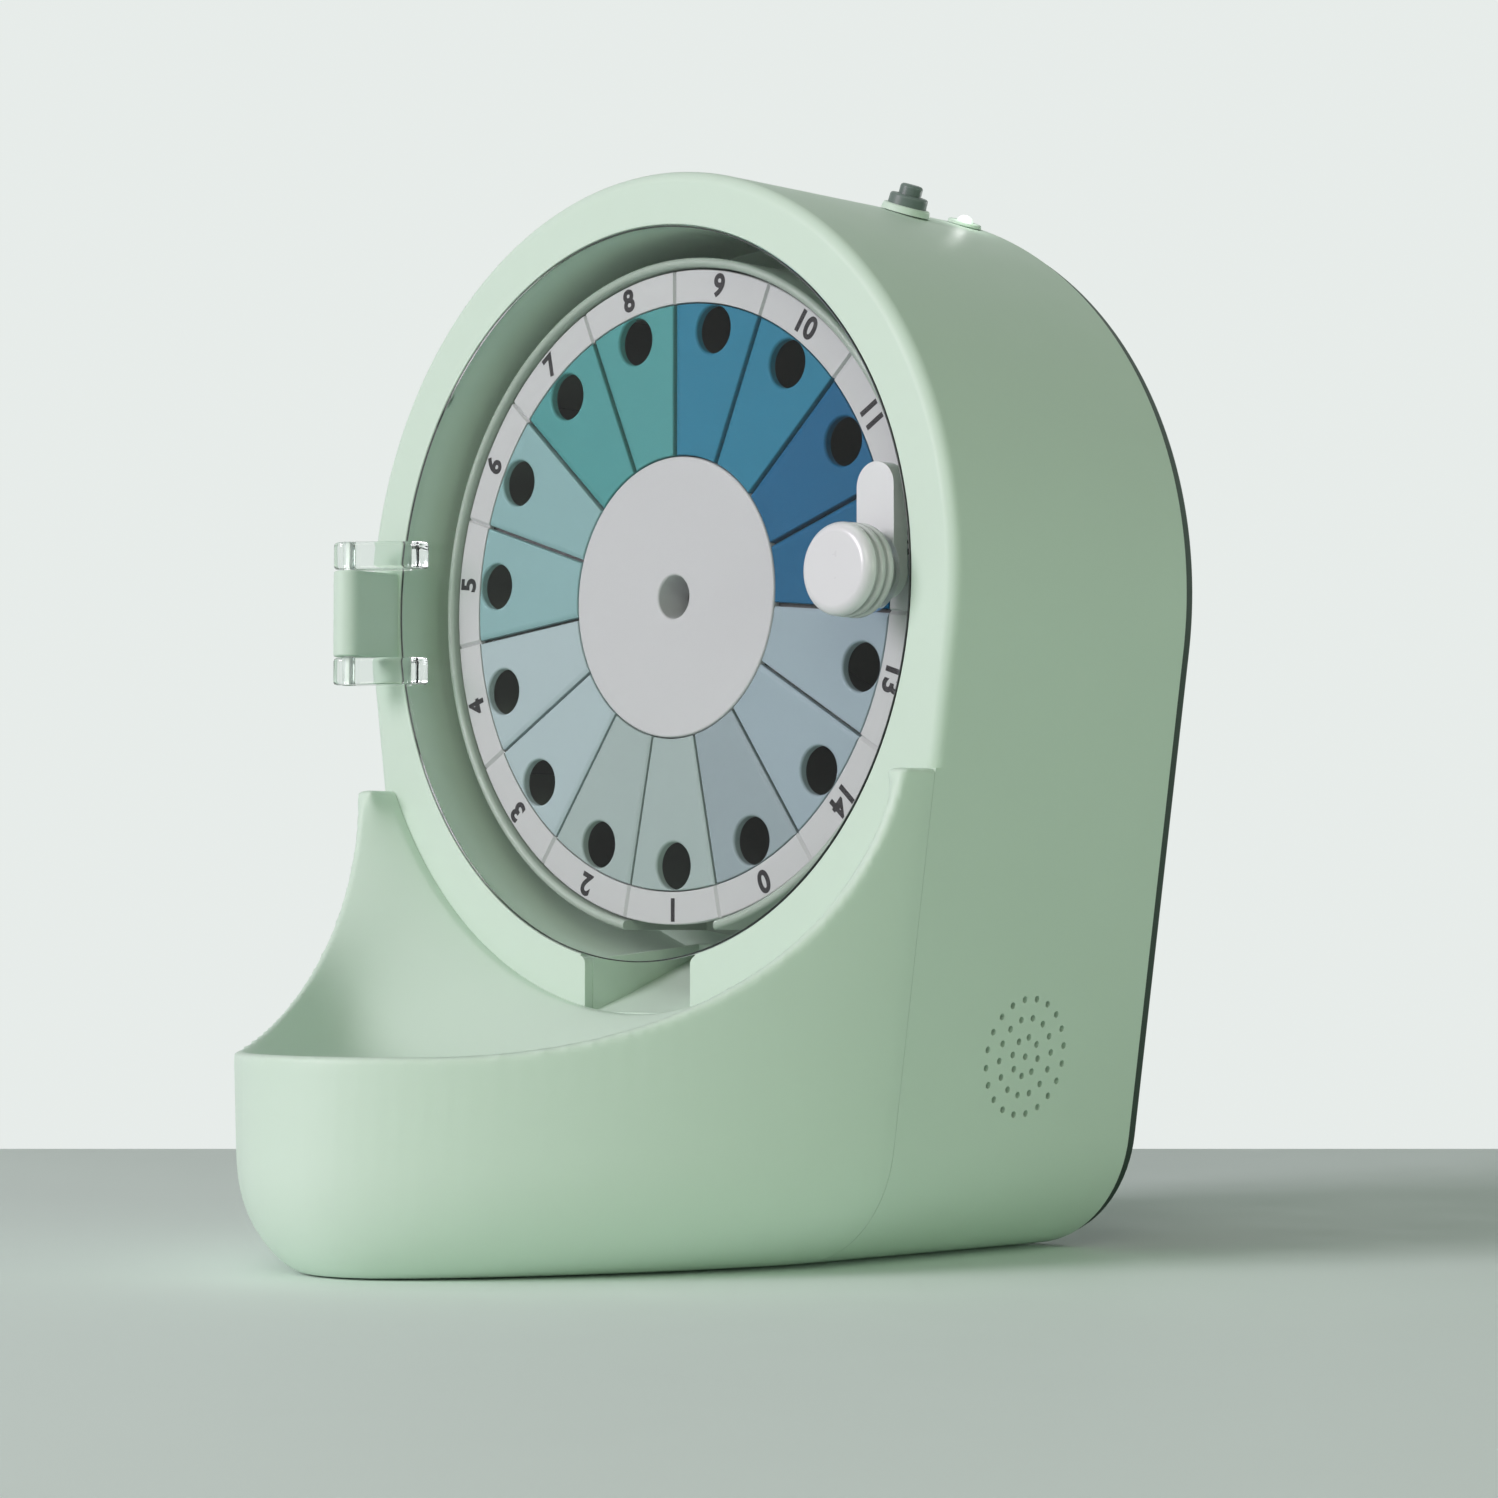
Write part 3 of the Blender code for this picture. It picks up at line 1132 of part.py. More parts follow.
def spindle(frame, steel):
    shaft = front_prism([flat_shaft(SPINDLE_RADIUS, SPINDLE_FLAT, SMALL_STEPS)],
                        SPINDLE_FRONT, SPINDLE_BACK)
    shaft = place(part(shaft, "spindle", steel), frame, rotation=UPRIGHT)
    weigh(shaft, lambda point: abs(point.z + SPINDLE_FRONT) < WELD)
    bevel(shaft, SPINDLE_CHAMFER, 1)
    hole = front_rod(SCREW_SHANK_RADIUS + FIT, SPINDLE_BACK - SPINDLE_SCREW_LENGTH - FIT,
                     SPINDLE_BACK + OVERRUN, PIN_STEPS)
    boolean(shaft, place(cutter(hole, "spindle_hole"), frame, rotation=UPRIGHT))
    head_front = GEAR_HUB_BACK + FIT
    head_back = head_front + WASHER_HEAD_THICKNESS
    socket = head_back - SCREW_SOCKET_DEPTH
    tip = SPINDLE_BACK - SPINDLE_SCREW_LENGTH
    screw = turned([(0, tip), (SCREW_SHANK_RADIUS, tip), (SCREW_SHANK_RADIUS, head_front),
                    (WASHER_HEAD_RADIUS, head_front), (WASHER_HEAD_RADIUS, head_back),
                    (SCREW_SOCKET_RADIUS, head_back), (SCREW_SOCKET_RADIUS, socket), (0, socket)],
                   PIN_STEPS)
    place(part(screw, "spindle_screw", steel), frame, rotation=UPRIGHT)


def spindle_bush(frame, look):
    front = CUP_BACK - FIT - BUSH_FLANGE_THICKNESS
    flange_back = DRUM_DEPTH - FIT
    bore = SPINDLE_RADIUS + FIT
    end = DRUM_BACK + BUSH_END
    bush = turned([(bore, front), (BUSH_FLANGE_RADIUS, front), (BUSH_FLANGE_RADIUS, flange_back),
                   (BUSH_RADIUS, flange_back), (BUSH_RADIUS, end), (bore, end)])
    place(part(bush, "spindle_bush", look), frame, (0, 0, DIAL_HEIGHT), UPRIGHT)


# Gears

def involute_angle(base, radius):
    """How far an involute has turned by the time it reaches a radius."""
    pressure = math.acos(min(base / radius, 1))
    return math.tan(pressure) - pressure


def gear_outline(teeth, flank_steps):
    """A spur gear's outline, with involute flanks between its root and tip circles."""
    pitch = GEAR_MODULE * teeth / 2
    base = pitch * math.cos(PRESSURE_ANGLE)
    tip = pitch + GEAR_MODULE
    root = pitch - GEAR_MODULE * ROOT_SHARE
    half_tooth = math.pi / (2 * teeth) - GEAR_BACKLASH / pitch
    start = max(base, root)
    points = []
    for tooth in range(teeth):
        middle = 2 * math.pi * tooth / teeth
        flank = []
        for index in range(flank_steps + 1):
            radius = start + (tip - start) * index / flank_steps
            turn = half_tooth + involute_angle(base, pitch) - involute_angle(base, radius)
            flank.append((radius, turn))
        if root < base:
            flank.insert(0, (root, flank[0][1]))
        for radius, turn in flank:
            points.append((radius * math.cos(middle - turn), radius * math.sin(middle - turn)))
        for radius, turn in reversed(flank):
            points.append((radius * math.cos(middle + turn), radius * math.sin(middle + turn)))
    return points


def drive_gear(frame, look):
    gear = front_prism([gear_outline(GEAR_TEETH, 1)], GEAR_FRONT, GEAR_BACK)
    gear = place(part(gear, "drive_gear", look), frame, rotation=UPRIGHT)
    hub = front_rod(GEAR_HUB_RADIUS, GEAR_BACK - SINK, GEAR_HUB_BACK, SMALL_STEPS)
    boolean(gear, place(cutter(hub, "gear_hub"), frame, rotation=UPRIGHT), "UNION")
    for face, outward in ((GEAR_FRONT, -1), (GEAR_BACK, 1)):
        floor = face - outward * GEAR_POCKET_DEPTH
        low, high = sorted((floor, face + outward * OVERRUN))
        pocket = front_prism([circle((0, 0), GEAR_RIM_RADIUS, 2 * SMALL_STEPS),
                              circle((0, 0), GEAR_WEB_RADIUS, SMALL_STEPS)], low, high)
        boolean(gear, place(cutter(pocket, "gear_pocket"), frame, rotation=UPRIGHT))
    bore = front_prism([flat_shaft(SPINDLE_RADIUS + FIT, SPINDLE_FLAT + FIT, SMALL_STEPS)],
                       GEAR_FRONT - OVERRUN, GEAR_HUB_BACK + OVERRUN)
    boolean(gear, place(cutter(bore, "gear_bore"), frame, rotation=UPRIGHT))


def motor_pinion(frame, look):
    """The pinion on the motor's own shaft, turned so that a gap faces the drive gear's top tooth."""
    pinion = front_prism([gear_outline(PINION_TEETH, 2)], GEAR_FRONT, GEAR_BACK)
    turn = math.pi / PINION_TEETH
    pinion = part(pinion, "motor_pinion", look)
    place(pinion, frame, rotation=(math.pi / 2, turn, 0))
    shaft = front_rod(MOTOR_SHAFT_RADIUS, GEAR_BACK - SINK, GEAR_BACK + MOTOR_SHAFT_LENGTH, PIN_STEPS)
    boolean(pinion, place(cutter(shaft, "motor_shaft"), frame, rotation=UPRIGHT), "UNION")


# Motor, bracket, boards and speaker

def motor(frame, look):
    bore = MOTOR_SHAFT_RADIUS + FIT
    bore_end = GEAR_BACK + MOTOR_SHAFT_LENGTH + FIT
    boss_front = MOTOR_FRONT - MOTOR_BOSS_LENGTH
    profile = [(bore, boss_front), (MOTOR_BOSS_RADIUS, boss_front), (MOTOR_BOSS_RADIUS, MOTOR_FRONT),
               (MOTOR_RADIUS, MOTOR_FRONT)]
    profile += list(reversed(rounded_corner(MOTOR_RADIUS, MOTOR_BACK, MOTOR_EDGE, -1, -1)))
    profile += [(0, MOTOR_BACK), (0, bore_end), (bore, bore_end)]
    place(part(turned(profile), "motor", look), frame, (0, 0, DIAL_HEIGHT + MOTOR_HEIGHT), UPRIGHT)


def bracket_screw_place(side):
    x = side * (BRACKET_HALF_WIDTH + BRACKET_FOOT / 2)
    return x, DIAL_HEIGHT + MOTOR_HEIGHT + BRACKET_LIFT


def motor_bracket(frame, look):
    """Bent sheet: two feet on the drum's back, two webs and the plate that the motor hangs on."""
    foot_front = DRUM_BACK + FIT
    foot_back = foot_front + BRACKET_SHEET
    half = []
    outer = BRACKET_HALF_WIDTH
    half += [(outer + BRACKET_FOOT, foot_front), (outer + BRACKET_FOOT, foot_back), (outer, foot_back),
             (outer, BRACKET_BACK)]
    inside = [(outer - BRACKET_SHEET, BRACKET_PLATE_DEPTH), (outer - BRACKET_SHEET, foot_front)]
    outline = half + [(-x, y) for x, y in reversed(half)]
    outline += [(-x, y) for x, y in reversed(inside)] + inside
    centre = DIAL_HEIGHT + MOTOR_HEIGHT + BRACKET_LIFT
    sheet = prism([outline], -BRACKET_HALF_HEIGHT, BRACKET_HALF_HEIGHT)
    sheet = place(part(sheet, "motor_bracket", look), frame, (0, 0, centre))
    hole = front_rod(MOTOR_BOSS_RADIUS + FIT, BRACKET_PLATE_DEPTH - OVERRUN, BRACKET_BACK + OVERRUN,
                     SMALL_STEPS)
    boolean(sheet, place(cutter(hole, "boss_hole"), frame, (0, 0, DIAL_HEIGHT + MOTOR_HEIGHT), UPRIGHT))
    for index, side in enumerate((-1, 1)):
        x, z = bracket_screw_place(side)
        clearance = front_rod(BRACKET_SCREW_SHANK + FIT, foot_front - OVERRUN, foot_back + OVERRUN,
                              PIN_STEPS)
        boolean(sheet, place(cutter(clearance, f"foot_hole_{index + 1}"), frame, (x, 0, z), UPRIGHT))


def bracket_screws(frame, look):
    seat = DRUM_BACK + FIT + BRACKET_SHEET + FIT
    tip = DRUM_BACK - BRACKET_SCREW_REACH
    back = seat + BRACKET_SCREW_HEAD
    for index, side in enumerate((-1, 1)):
        x, z = bracket_screw_place(side)
        screw = turned([(0, tip), (BRACKET_SCREW_SHANK, tip), (BRACKET_SCREW_SHANK, seat),
                        (BRACKET_SCREW_HEAD_RADIUS, seat), (BRACKET_SCREW_HEAD_RADIUS, back), (0, back)],
                       PIN_STEPS)
        place(part(screw, f"bracket_screw_{index + 1}", look), frame, (x, 0, z), UPRIGHT)


def control_board(frame, look):
    board = front_prism([box_outline((-BOARD_HALF_WIDTH, BOARD_LOW), (BOARD_HALF_WIDTH, BOARD_HIGH))],
                        BOARD_DEPTH, BOARD_DEPTH + BOARD_THICKNESS)
    board = place(part(board, "control_board", look), frame, rotation=UPRIGHT)
    back = BOARD_DEPTH + BOARD_THICKNESS
    middle = (BOARD_LOW + BOARD_HIGH) / 2
    spread = BOARD_HALF_WIDTH - BOARD_POST_INSET - SOCKET_WIDTH
    pieces = [("chip", 0, CHIP_SIZE, CHIP_SIZE, CHIP_HEIGHT),
              ("left_socket", -spread, SOCKET_WIDTH, SOCKET_DEPTH, SOCKET_HEIGHT),
              ("right_socket", spread, SOCKET_WIDTH, SOCKET_DEPTH, SOCKET_HEIGHT)]
    for name, x, width, height, rise in pieces:
        block = front_prism([box_outline((x - width / 2, middle - height / 2),
                                         (x + width / 2, middle + height / 2))],
                            back - BOARD_THICKNESS / 2, back + rise)
        boolean(board, place(cutter(block, name), frame, rotation=UPRIGHT), "UNION")


def speaker(frame, look):
    """Frame ring, cone basket and magnet, facing out through the wall's holes."""
    front = -(WALL + SPEAKER_PAD + FIT)
    flange = front - SPEAKER_FLANGE
    back = front - SPEAKER_LENGTH
    magnet = back + MAGNET_LENGTH
    profile = [(0, back), (MAGNET_RADIUS, back), (MAGNET_RADIUS, magnet), (SPEAKER_CONE_RADIUS, flange),
               (SPEAKER_RADIUS, flange), (SPEAKER_RADIUS, front), (SPEAKER_CONE_RADIUS, front),
               (MAGNET_RADIUS / 2, flange - SPEAKER_FLANGE), (0, flange - SPEAKER_FLANGE)]
    place(part(turned(profile, 2 * PIN_STEPS), "speaker", look), frame)


# Door and latch

def tangent_angles(centre, radius, point):
    """Directions from the centre to the two tangent points seen from an outside point."""
    across = point[0] - centre[0]
    along = point[1] - centre[1]
    towards = math.atan2(along, across)
    spread = math.acos(radius / math.hypot(across, along))
    return towards - spread, towards + spread


def lug_outline():
    """A lug seen from above: a round eye on the hinge pin, drawn out to a square foot."""
    eye = (HINGE_X, HINGE_DEPTH)
    foot_back = (DOOR_PANE_FRONT + DOOR_PANE_BACK) / 2
    inner_front = (LUG_FOOT_INNER, LUG_FOOT_FRONT)
    outer_back = (LUG_FOOT_OUTER, foot_back)
    start = tangent_angles(eye, HINGE_RADIUS, outer_back)[1]
    end = tangent_angles(eye, HINGE_RADIUS, inner_front)[0] + 2 * math.pi
    outline = arc(eye, HINGE_RADIUS, start, end, 2 * CORNER_STEPS)
    return outline + [inner_front, (LUG_FOOT_INNER, foot_back), outer_back]


def door_panel(hinge, look):
    """The clear door: a pane with a thicker rim, two lugs and a seat for the latch's knob."""
    inner = DOOR_RADIUS - DOOR_RIM
    panel = turned([(0, DOOR_PANE_FRONT), (inner, DOOR_PANE_FRONT), (inner, DOOR_RIM_FRONT),
                    (DOOR_RADIUS, DOOR_RIM_FRONT), (DOOR_RADIUS, DOOR_RIM_BACK),
                    (inner, DOOR_RIM_BACK), (inner, DOOR_PANE_BACK), (0, DOOR_PANE_BACK)], RING_STEPS)
    panel = part(panel, "door_panel", look)
    dial = (-HINGE_X, -HINGE_DEPTH, 0)
    place(panel, hinge, dial, UPRIGHT)
    low = HINGE_BLOCK_HEIGHT / 2 + LUG_GAP
    for name, bottom in (("lower_lug", -low - LUG_HEIGHT), ("upper_lug", low)):
        lug = prism([lug_outline()], bottom, bottom + LUG_HEIGHT)
        boolean(panel, place(cutter(lug, name), hinge, dial), "UNION")
    seat = front_prism([circle((LATCH_X, 0), LATCH_SEAT_RADIUS, 2 * PIN_STEPS)],
                       LATCH_SEAT_FRONT, (DOOR_PANE_FRONT + DOOR_PANE_BACK) / 2)
    boolean(panel, place(cutter(seat, "latch_seat"), hinge, dial, UPRIGHT), "UNION")
    hole = front_prism([circle((LATCH_X, 0), LATCH_SHAFT_RADIUS + FIT, PIN_STEPS)],
                       LATCH_SEAT_FRONT - OVERRUN, DOOR_PANE_BACK + OVERRUN)
    boolean(panel, place(cutter(hole, "latch_hole"), hinge, dial, UPRIGHT))
    length = low + LUG_HEIGHT + OVERRUN
    pin_hole = rod(HINGE_PIN_RADIUS + FIT, -length, length, PIN_STEPS)
    boolean(panel, place(cutter(pin_hole, "lug_holes"), hinge))


def hinge_pin(frame, look):
    half = HINGE_BLOCK_HEIGHT / 2 + LUG_GAP + LUG_HEIGHT - FIT
    pin = turned([(0, -half), (HINGE_PIN_RADIUS, -half), (HINGE_PIN_RADIUS, half), (0, half)], PIN_STEPS)
    place(part(pin, "hinge_pin", look), frame, (HINGE_X, HINGE_DEPTH, DIAL_HEIGHT))


def ring_groove_profile():
    """The knob's side from back to front: two grip rings with a groove in front of each."""
    points = []
    depth = KNOB_BACK
    for ring in range(2):
        points += [(KNOB_RADIUS - KNOB_EDGE, depth), (KNOB_RADIUS, depth - KNOB_EDGE),
                   (KNOB_RADIUS, depth - KNOB_RING + KNOB_EDGE),
                   (KNOB_RADIUS - KNOB_EDGE, depth - KNOB_RING), (KNOB_GROOVE_RADIUS, depth - KNOB_RING)]
        depth -= KNOB_RING + KNOB_GROOVE
        points.append((KNOB_GROOVE_RADIUS, depth))
    return points


def latch_knob(latch, white, steel):
    """Grip body with its shaft, and the plain cap pressed into its front."""
    peg = KNOB_PEG_RADIUS + FIT
    peg_end = KNOB_FRONT + KNOB_PEG_LENGTH + FIT
    shaft_end = CAM_BACK
    screw = LATCH_SCREW_SHANK + FIT
    screw_end = shaft_end - LATCH_SCREW_REACH - FIT
    profile = [(0, peg_end), (peg, peg_end), (peg, KNOB_FRONT)]
    profile += list(reversed(ring_groove_profile()))
    profile += [(LATCH_SHAFT_RADIUS, KNOB_BACK), (LATCH_SHAFT_RADIUS, shaft_end), (screw, shaft_end),
                (screw, screw_end), (0, screw_end)]
    place(part(turned(profile, 2 * PIN_STEPS), "latch_knob", white), latch, rotation=UPRIGHT)
    cap_back = KNOB_FRONT - FIT
    cap_front = cap_back - KNOB_CAP_THICKNESS
    cap = [(0, cap_front)] + rounded_corner(KNOB_CAP_RADIUS, cap_front, KNOB_CAP_EDGE, -1, 1)
    cap += [(KNOB_CAP_RADIUS, cap_back), (KNOB_PEG_RADIUS, cap_back),
            (KNOB_PEG_RADIUS, KNOB_FRONT + KNOB_PEG_LENGTH), (0, KNOB_FRONT + KNOB_PEG_LENGTH)]
    place(part(turned(cap, 2 * PIN_STEPS), "latch_knob_cap", white), latch, rotation=UPRIGHT)
    radius = CAM_WIDTH / 2
    reach = CAM_LENGTH - radius
    outline = arc((0, reach), radius, 0, math.pi, 2 * CORNER_STEPS)
    outline += arc((0, 0), radius, math.pi, 2 * math.pi, 2 * CORNER_STEPS)
    cam = front_prism([outline], CAM_FRONT, CAM_BACK)
    cam = place(part(cam, "latch_cam", white), latch, rotation=UPRIGHT)
    weigh(cam, lambda point: abs(point.z + CAM_FRONT) < WELD)
    bevel(cam, CAM_EDGE, 2)
    bore = front_rod(CAM_BORE_RADIUS, CAM_FRONT - OVERRUN, CAM_BACK + OVERRUN, PIN_STEPS)
    boolean(cam, place(cutter(bore, "cam_bore"), latch, rotation=UPRIGHT))
    head = CAM_BACK + FIT
    back = head + LATCH_SCREW_HEAD
    tip = CAM_BACK - LATCH_SCREW_REACH
    screw = turned([(0, tip), (LATCH_SCREW_SHANK, tip), (LATCH_SCREW_SHANK, head),
                    (LATCH_SCREW_HEAD_RADIUS, head), (LATCH_SCREW_HEAD_RADIUS, back),
                    (SCREW_SOCKET_RADIUS, back), (SCREW_SOCKET_RADIUS, back - SCREW_SOCKET_DEPTH),
                    (0, back - SCREW_SOCKET_DEPTH)], PIN_STEPS)
    place(part(screw, "latch_screw", steel), latch, rotation=UPRIGHT)


# Button and indicator light; heights run out from the roof's surface, so depths are their negatives

def lifted(profile):
    """Turn (radius, height) points into the (radius, depth) points that turned takes."""
    return [(radius, -height) for radius, height in profile]


def plunger_flange_top():
    return COLLAR_HEIGHT + FIT + BUTTON_HEAD_HEIGHT - BUTTON_TOP_WALL - FIT


def button_fixed_parts(frame, white, grey, steel):
    collar_in = BUTTON_STEM_RADIUS + FIT
    collar_top = COLLAR_HEIGHT
    collar = turned(lifted([(collar_in, FIT), (COLLAR_RADIUS, FIT), (COLLAR_RADIUS, collar_top),
                            (collar_in, collar_top)]))
    place(part(collar, "button_collar", white), frame)
    head_low = collar_top + FIT
    head_top = head_low + BUTTON_HEAD_HEIGHT
    mouth = PLUNGER_RADIUS + FIT
    pin = PLUNGER_PIN_RADIUS + FIT
    seat = BUTTON_STEM_END + BUTTON_SEAT
    profile = [(pin, BUTTON_STEM_END), (BUTTON_STEM_RADIUS, BUTTON_STEM_END),
               (BUTTON_STEM_RADIUS, head_low), (BUTTON_HEAD_RADIUS, head_low),
               (BUTTON_HEAD_RADIUS, head_top), (mouth, head_top), (mouth, head_top - BUTTON_TOP_WALL),
               (BUTTON_BORE_RADIUS, head_top - BUTTON_TOP_WALL), (BUTTON_BORE_RADIUS, seat), (pin, seat)]
    place(part(turned(lifted(profile)), "button_body", grey), frame)
    low = seat + FIT + SPRING_WIRE
    high = plunger_flange_top() - PLUNGER_FLANGE - FIT - SPRING_WIRE
    place(part(coil_spring(low, high), "button_spring", steel), frame)


def coil_spring(low, high):
    """A helix of round wire; it keeps its pitch clear of its own wire."""
    count = SPRING_TURNS * SPRING_STEPS
    curve = bpy.data.curves.new("spring", "CURVE")
    curve.dimensions = "3D"
    curve.bevel_depth = SPRING_WIRE
    curve.bevel_resolution = 1
    curve.use_fill_caps = True
    spline = curve.splines.new("POLY")
    spline.points.add(count)
    for index, point in enumerate(spline.points):
        angle = 2 * math.pi * index / SPRING_STEPS
        rise = low + (high - low) * index / count
        point.co = (SPRING_RADIUS * math.cos(angle), SPRING_RADIUS * math.sin(angle), rise, 1)
    source = bpy.data.objects.new("spring", curve)
    CUTTERS.objects.link(source)
    bpy.context.view_layer.update()
    mesh = bpy.data.meshes.new_from_object(source.evaluated_get(bpy.context.evaluated_depsgraph_get()))
    bpy.data.objects.remove(source, do_unlink=True)
    shape = bmesh.new()
    shape.from_mesh(mesh)
    bmesh.ops.remove_doubles(shape, verts=shape.verts, dist=WELD)
    bmesh.ops.recalc_face_normals(shape, faces=shape.faces)
    shape.to_mesh(mesh)
    shape.free()
    return bpy.data.objects.new("spring", mesh)


def button_plunger(frame, look):
    top = COLLAR_HEIGHT + FIT + BUTTON_HEAD_HEIGHT + PLUNGER_PROUD
    flange_top = plunger_flange_top()
    flange_low = flange_top - PLUNGER_FLANGE
    profile = [(0, top), (PLUNGER_RADIUS - PLUNGER_EDGE, top), (PLUNGER_RADIUS, top - PLUNGER_EDGE),
               (PLUNGER_RADIUS, flange_top), (PLUNGER_FLANGE_RADIUS, flange_top),
               (PLUNGER_FLANGE_RADIUS, flange_low), (PLUNGER_PIN_RADIUS, flange_low),
               (PLUNGER_PIN_RADIUS, PLUNGER_PIN_END), (0, PLUNGER_PIN_END)]
    place(part(turned(lifted(profile)), "button_plunger", look), frame)


def switch_board(frame, look):
    """The small board under the roof, with the switch that the button's pin presses."""
    high = SWITCH_BOARD_TOP
    low = high - SWITCH_BOARD_THICKNESS
    outline = box_outline((-SWITCH_BOARD_HALF_WIDTH, SWITCH_BOARD_FRONT),
                          (SWITCH_BOARD_HALF_WIDTH, SWITCH_BOARD_BACK))
    board = place(part(prism([outline], low, high), "switch_board", look), frame)
    switch_top = PLUNGER_PIN_END - BUTTON_TRAVEL - FIT
    half = SWITCH_WIDTH / 2
    outline = box_outline((-half, -half), (half, half))
    switch = prism([outline], high - SWITCH_BOARD_THICKNESS / 2, switch_top)
    boolean(board, place(cutter(switch, "switch"), frame), "UNION")


def indicator_light(frame, bezel_look, lens_look):
    sleeve = LIGHT_RADIUS + FIT + LIGHT_BEZEL_SLEEVE
    bore = LIGHT_RADIUS + FIT
    top = LIGHT_BEZEL_HEIGHT + FIT
    bezel = turned(lifted([(bore, -WALL), (sleeve, -WALL), (sleeve, FIT), (LIGHT_BEZEL_RADIUS, FIT),
                           (LIGHT_BEZEL_RADIUS, top), (bore, top)]))
    place(part(bezel, "light_bezel", bezel_look), frame)
    dome = arc((0, 0), 1, 0, math.pi / 2, CORNER_STEPS)
    points = [(0, SWITCH_BOARD_TOP + FIT), (LIGHT_RADIUS, SWITCH_BOARD_TOP + FIT)]
    points += [(LIGHT_RADIUS * x, top + (LIGHT_HEIGHT - top) * y) for x, y in dome[:-1]]
    points.append((0, LIGHT_HEIGHT))
    place(part(turned(lifted(points)), "light_pipe", lens_look), frame)


# The product

PRODUCT = "pill_dispenser"


def build():
    clear_scene()
    global PARTS, CUTTERS
    PARTS = new_collection(PRODUCT)
    CUTTERS = new_collection("cutters")

    mint = material("mint plastic", (0.63, 0.75, 0.65), 0.45)
    dark_green = material("dark green plastic", (0.014, 0.034, 0.021), 0.5)
    white = material("white plastic", (0.78, 0.78, 0.78), 0.35)
    grey = material("grey plastic", (0.10, 0.13, 0.12), 0.45)
    clear = material("clear plastic", (0.95, 0.98, 0.96), 0.05, transmission=1)
    label = material("label white", (0.60, 0.60, 0.60), 0.6)
    steel = material("steel", (0.55, 0.55, 0.56), 0.3, metallic=1)
    bronze = material("bush bronze", (0.45, 0.28, 0.12), 0.4, metallic=1)
    nylon = material("gear nylon", (0.70, 0.68, 0.60), 0.5)
    rubber = material("foot rubber", (0.03, 0.03, 0.03), 0.8)
    board_green = material("circuit board", (0.02, 0.12, 0.05), 0.5)
    battery_wrap = material("battery wrap", (0.05, 0.10, 0.25), 0.4)
    lamp = material("light pipe", (0.95, 0.95, 0.95), 0.2, transmission=1)
    lid_looks = [
        material("home lid", (0.29, 0.35, 0.39), 0.5),
        material("lid pair 1", (0.33, 0.41, 0.39), 0.5),
        material("lid pair 2", (0.37, 0.48, 0.50), 0.5),
        material("lid pair 3", (0.24, 0.43, 0.41), 0.5),
        material("lid pair 4", (0.10, 0.32, 0.28), 0.5),
        material("lid pair 5", (0.054, 0.20, 0.31), 0.5),
        material("lid pair 6", (0.03, 0.12, 0.23), 0.5),
        material("lid pair 7", (0.30, 0.37, 0.41), 0.5),
    ]

    base = empty("dispenser_frame", None, (0, FRONT_FACE, FOOT_PROUD))
    hinge = empty("door_hinge", base, (HINGE_X, HINGE_DEPTH, DIAL_HEIGHT))
    latch = empty("latch_axis", hinge, (LATCH_X - HINGE_X, -HINGE_DEPTH, 0))
    dial = empty("carousel_axis", base, (0, 0, DIAL_HEIGHT))
    pinion_axis = empty("motor_axis", dial, (0, 0, MOTOR_HEIGHT))
    roof_x = BODY_RADIUS * math.sin(ROOF_ANGLE)
    roof_z = DIAL_HEIGHT + BODY_RADIUS * math.cos(ROOF_ANGLE)
    button = empty("button_axis", base, (roof_x, BUTTON_DEPTH, roof_z), (0, ROOF_ANGLE, 0))
    light = empty("light_axis", base, (roof_x, LIGHT_DEPTH, roof_z), (0, ROOF_ANGLE, 0))
    wall_turn = SIDE_TAPER - math.pi / 2
    sound = empty("speaker_axis", base, (half_width(SPEAKER_HEIGHT), SPEAKER_DEPTH, SPEAKER_HEIGHT),
                  (0, wall_turn, 0))

    housing_shell(base, sound, button, light, mint)
    dial_drum(base, mint)
    rear_cover(base, dark_green)
    cover_screws(base, steel)
    battery_hatch(base, dark_green)
    battery_pack(base, battery_wrap)
    power_inlet(base, grey)
    pill_tray(base, mint)
    foot_pads(base, rubber)
    chute(base, mint)
    carousel_cup(base, mint)
    compartment_lids(dial, lid_looks)
    label_ring(dial, label)
    hub_cap(dial, white)
    wheel(dial, label)
    spindle(dial, steel)
    spindle_bush(base, bronze)
    drive_gear(dial, nylon)
    motor_pinion(pinion_axis, nylon)
    motor(base, steel)
    motor_bracket(base, steel)
    bracket_screws(base, steel)
    control_board(base, board_green)
    speaker(sound, grey)
    door_panel(hinge, clear)
    hinge_pin(base, steel)
    latch_knob(latch, white, steel)
    button_fixed_parts(button, white, grey, steel)
    button_plunger(button, grey)
    switch_board(button, board_green)
    indicator_light(light, white, lamp)
    bpy.context.view_layer.update()


build()
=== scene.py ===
"""Looks for the automatic pill dispenser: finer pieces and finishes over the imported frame.

Metres, in the frame's own axes: +Z up, the dial faces -Y. Depths are measured back from the
housing's front face and heights up from its underside, as in the CAD.
"""
import json
from math import acos, asin, atan2, cos, hypot, pi, radians, sin, sqrt, tan

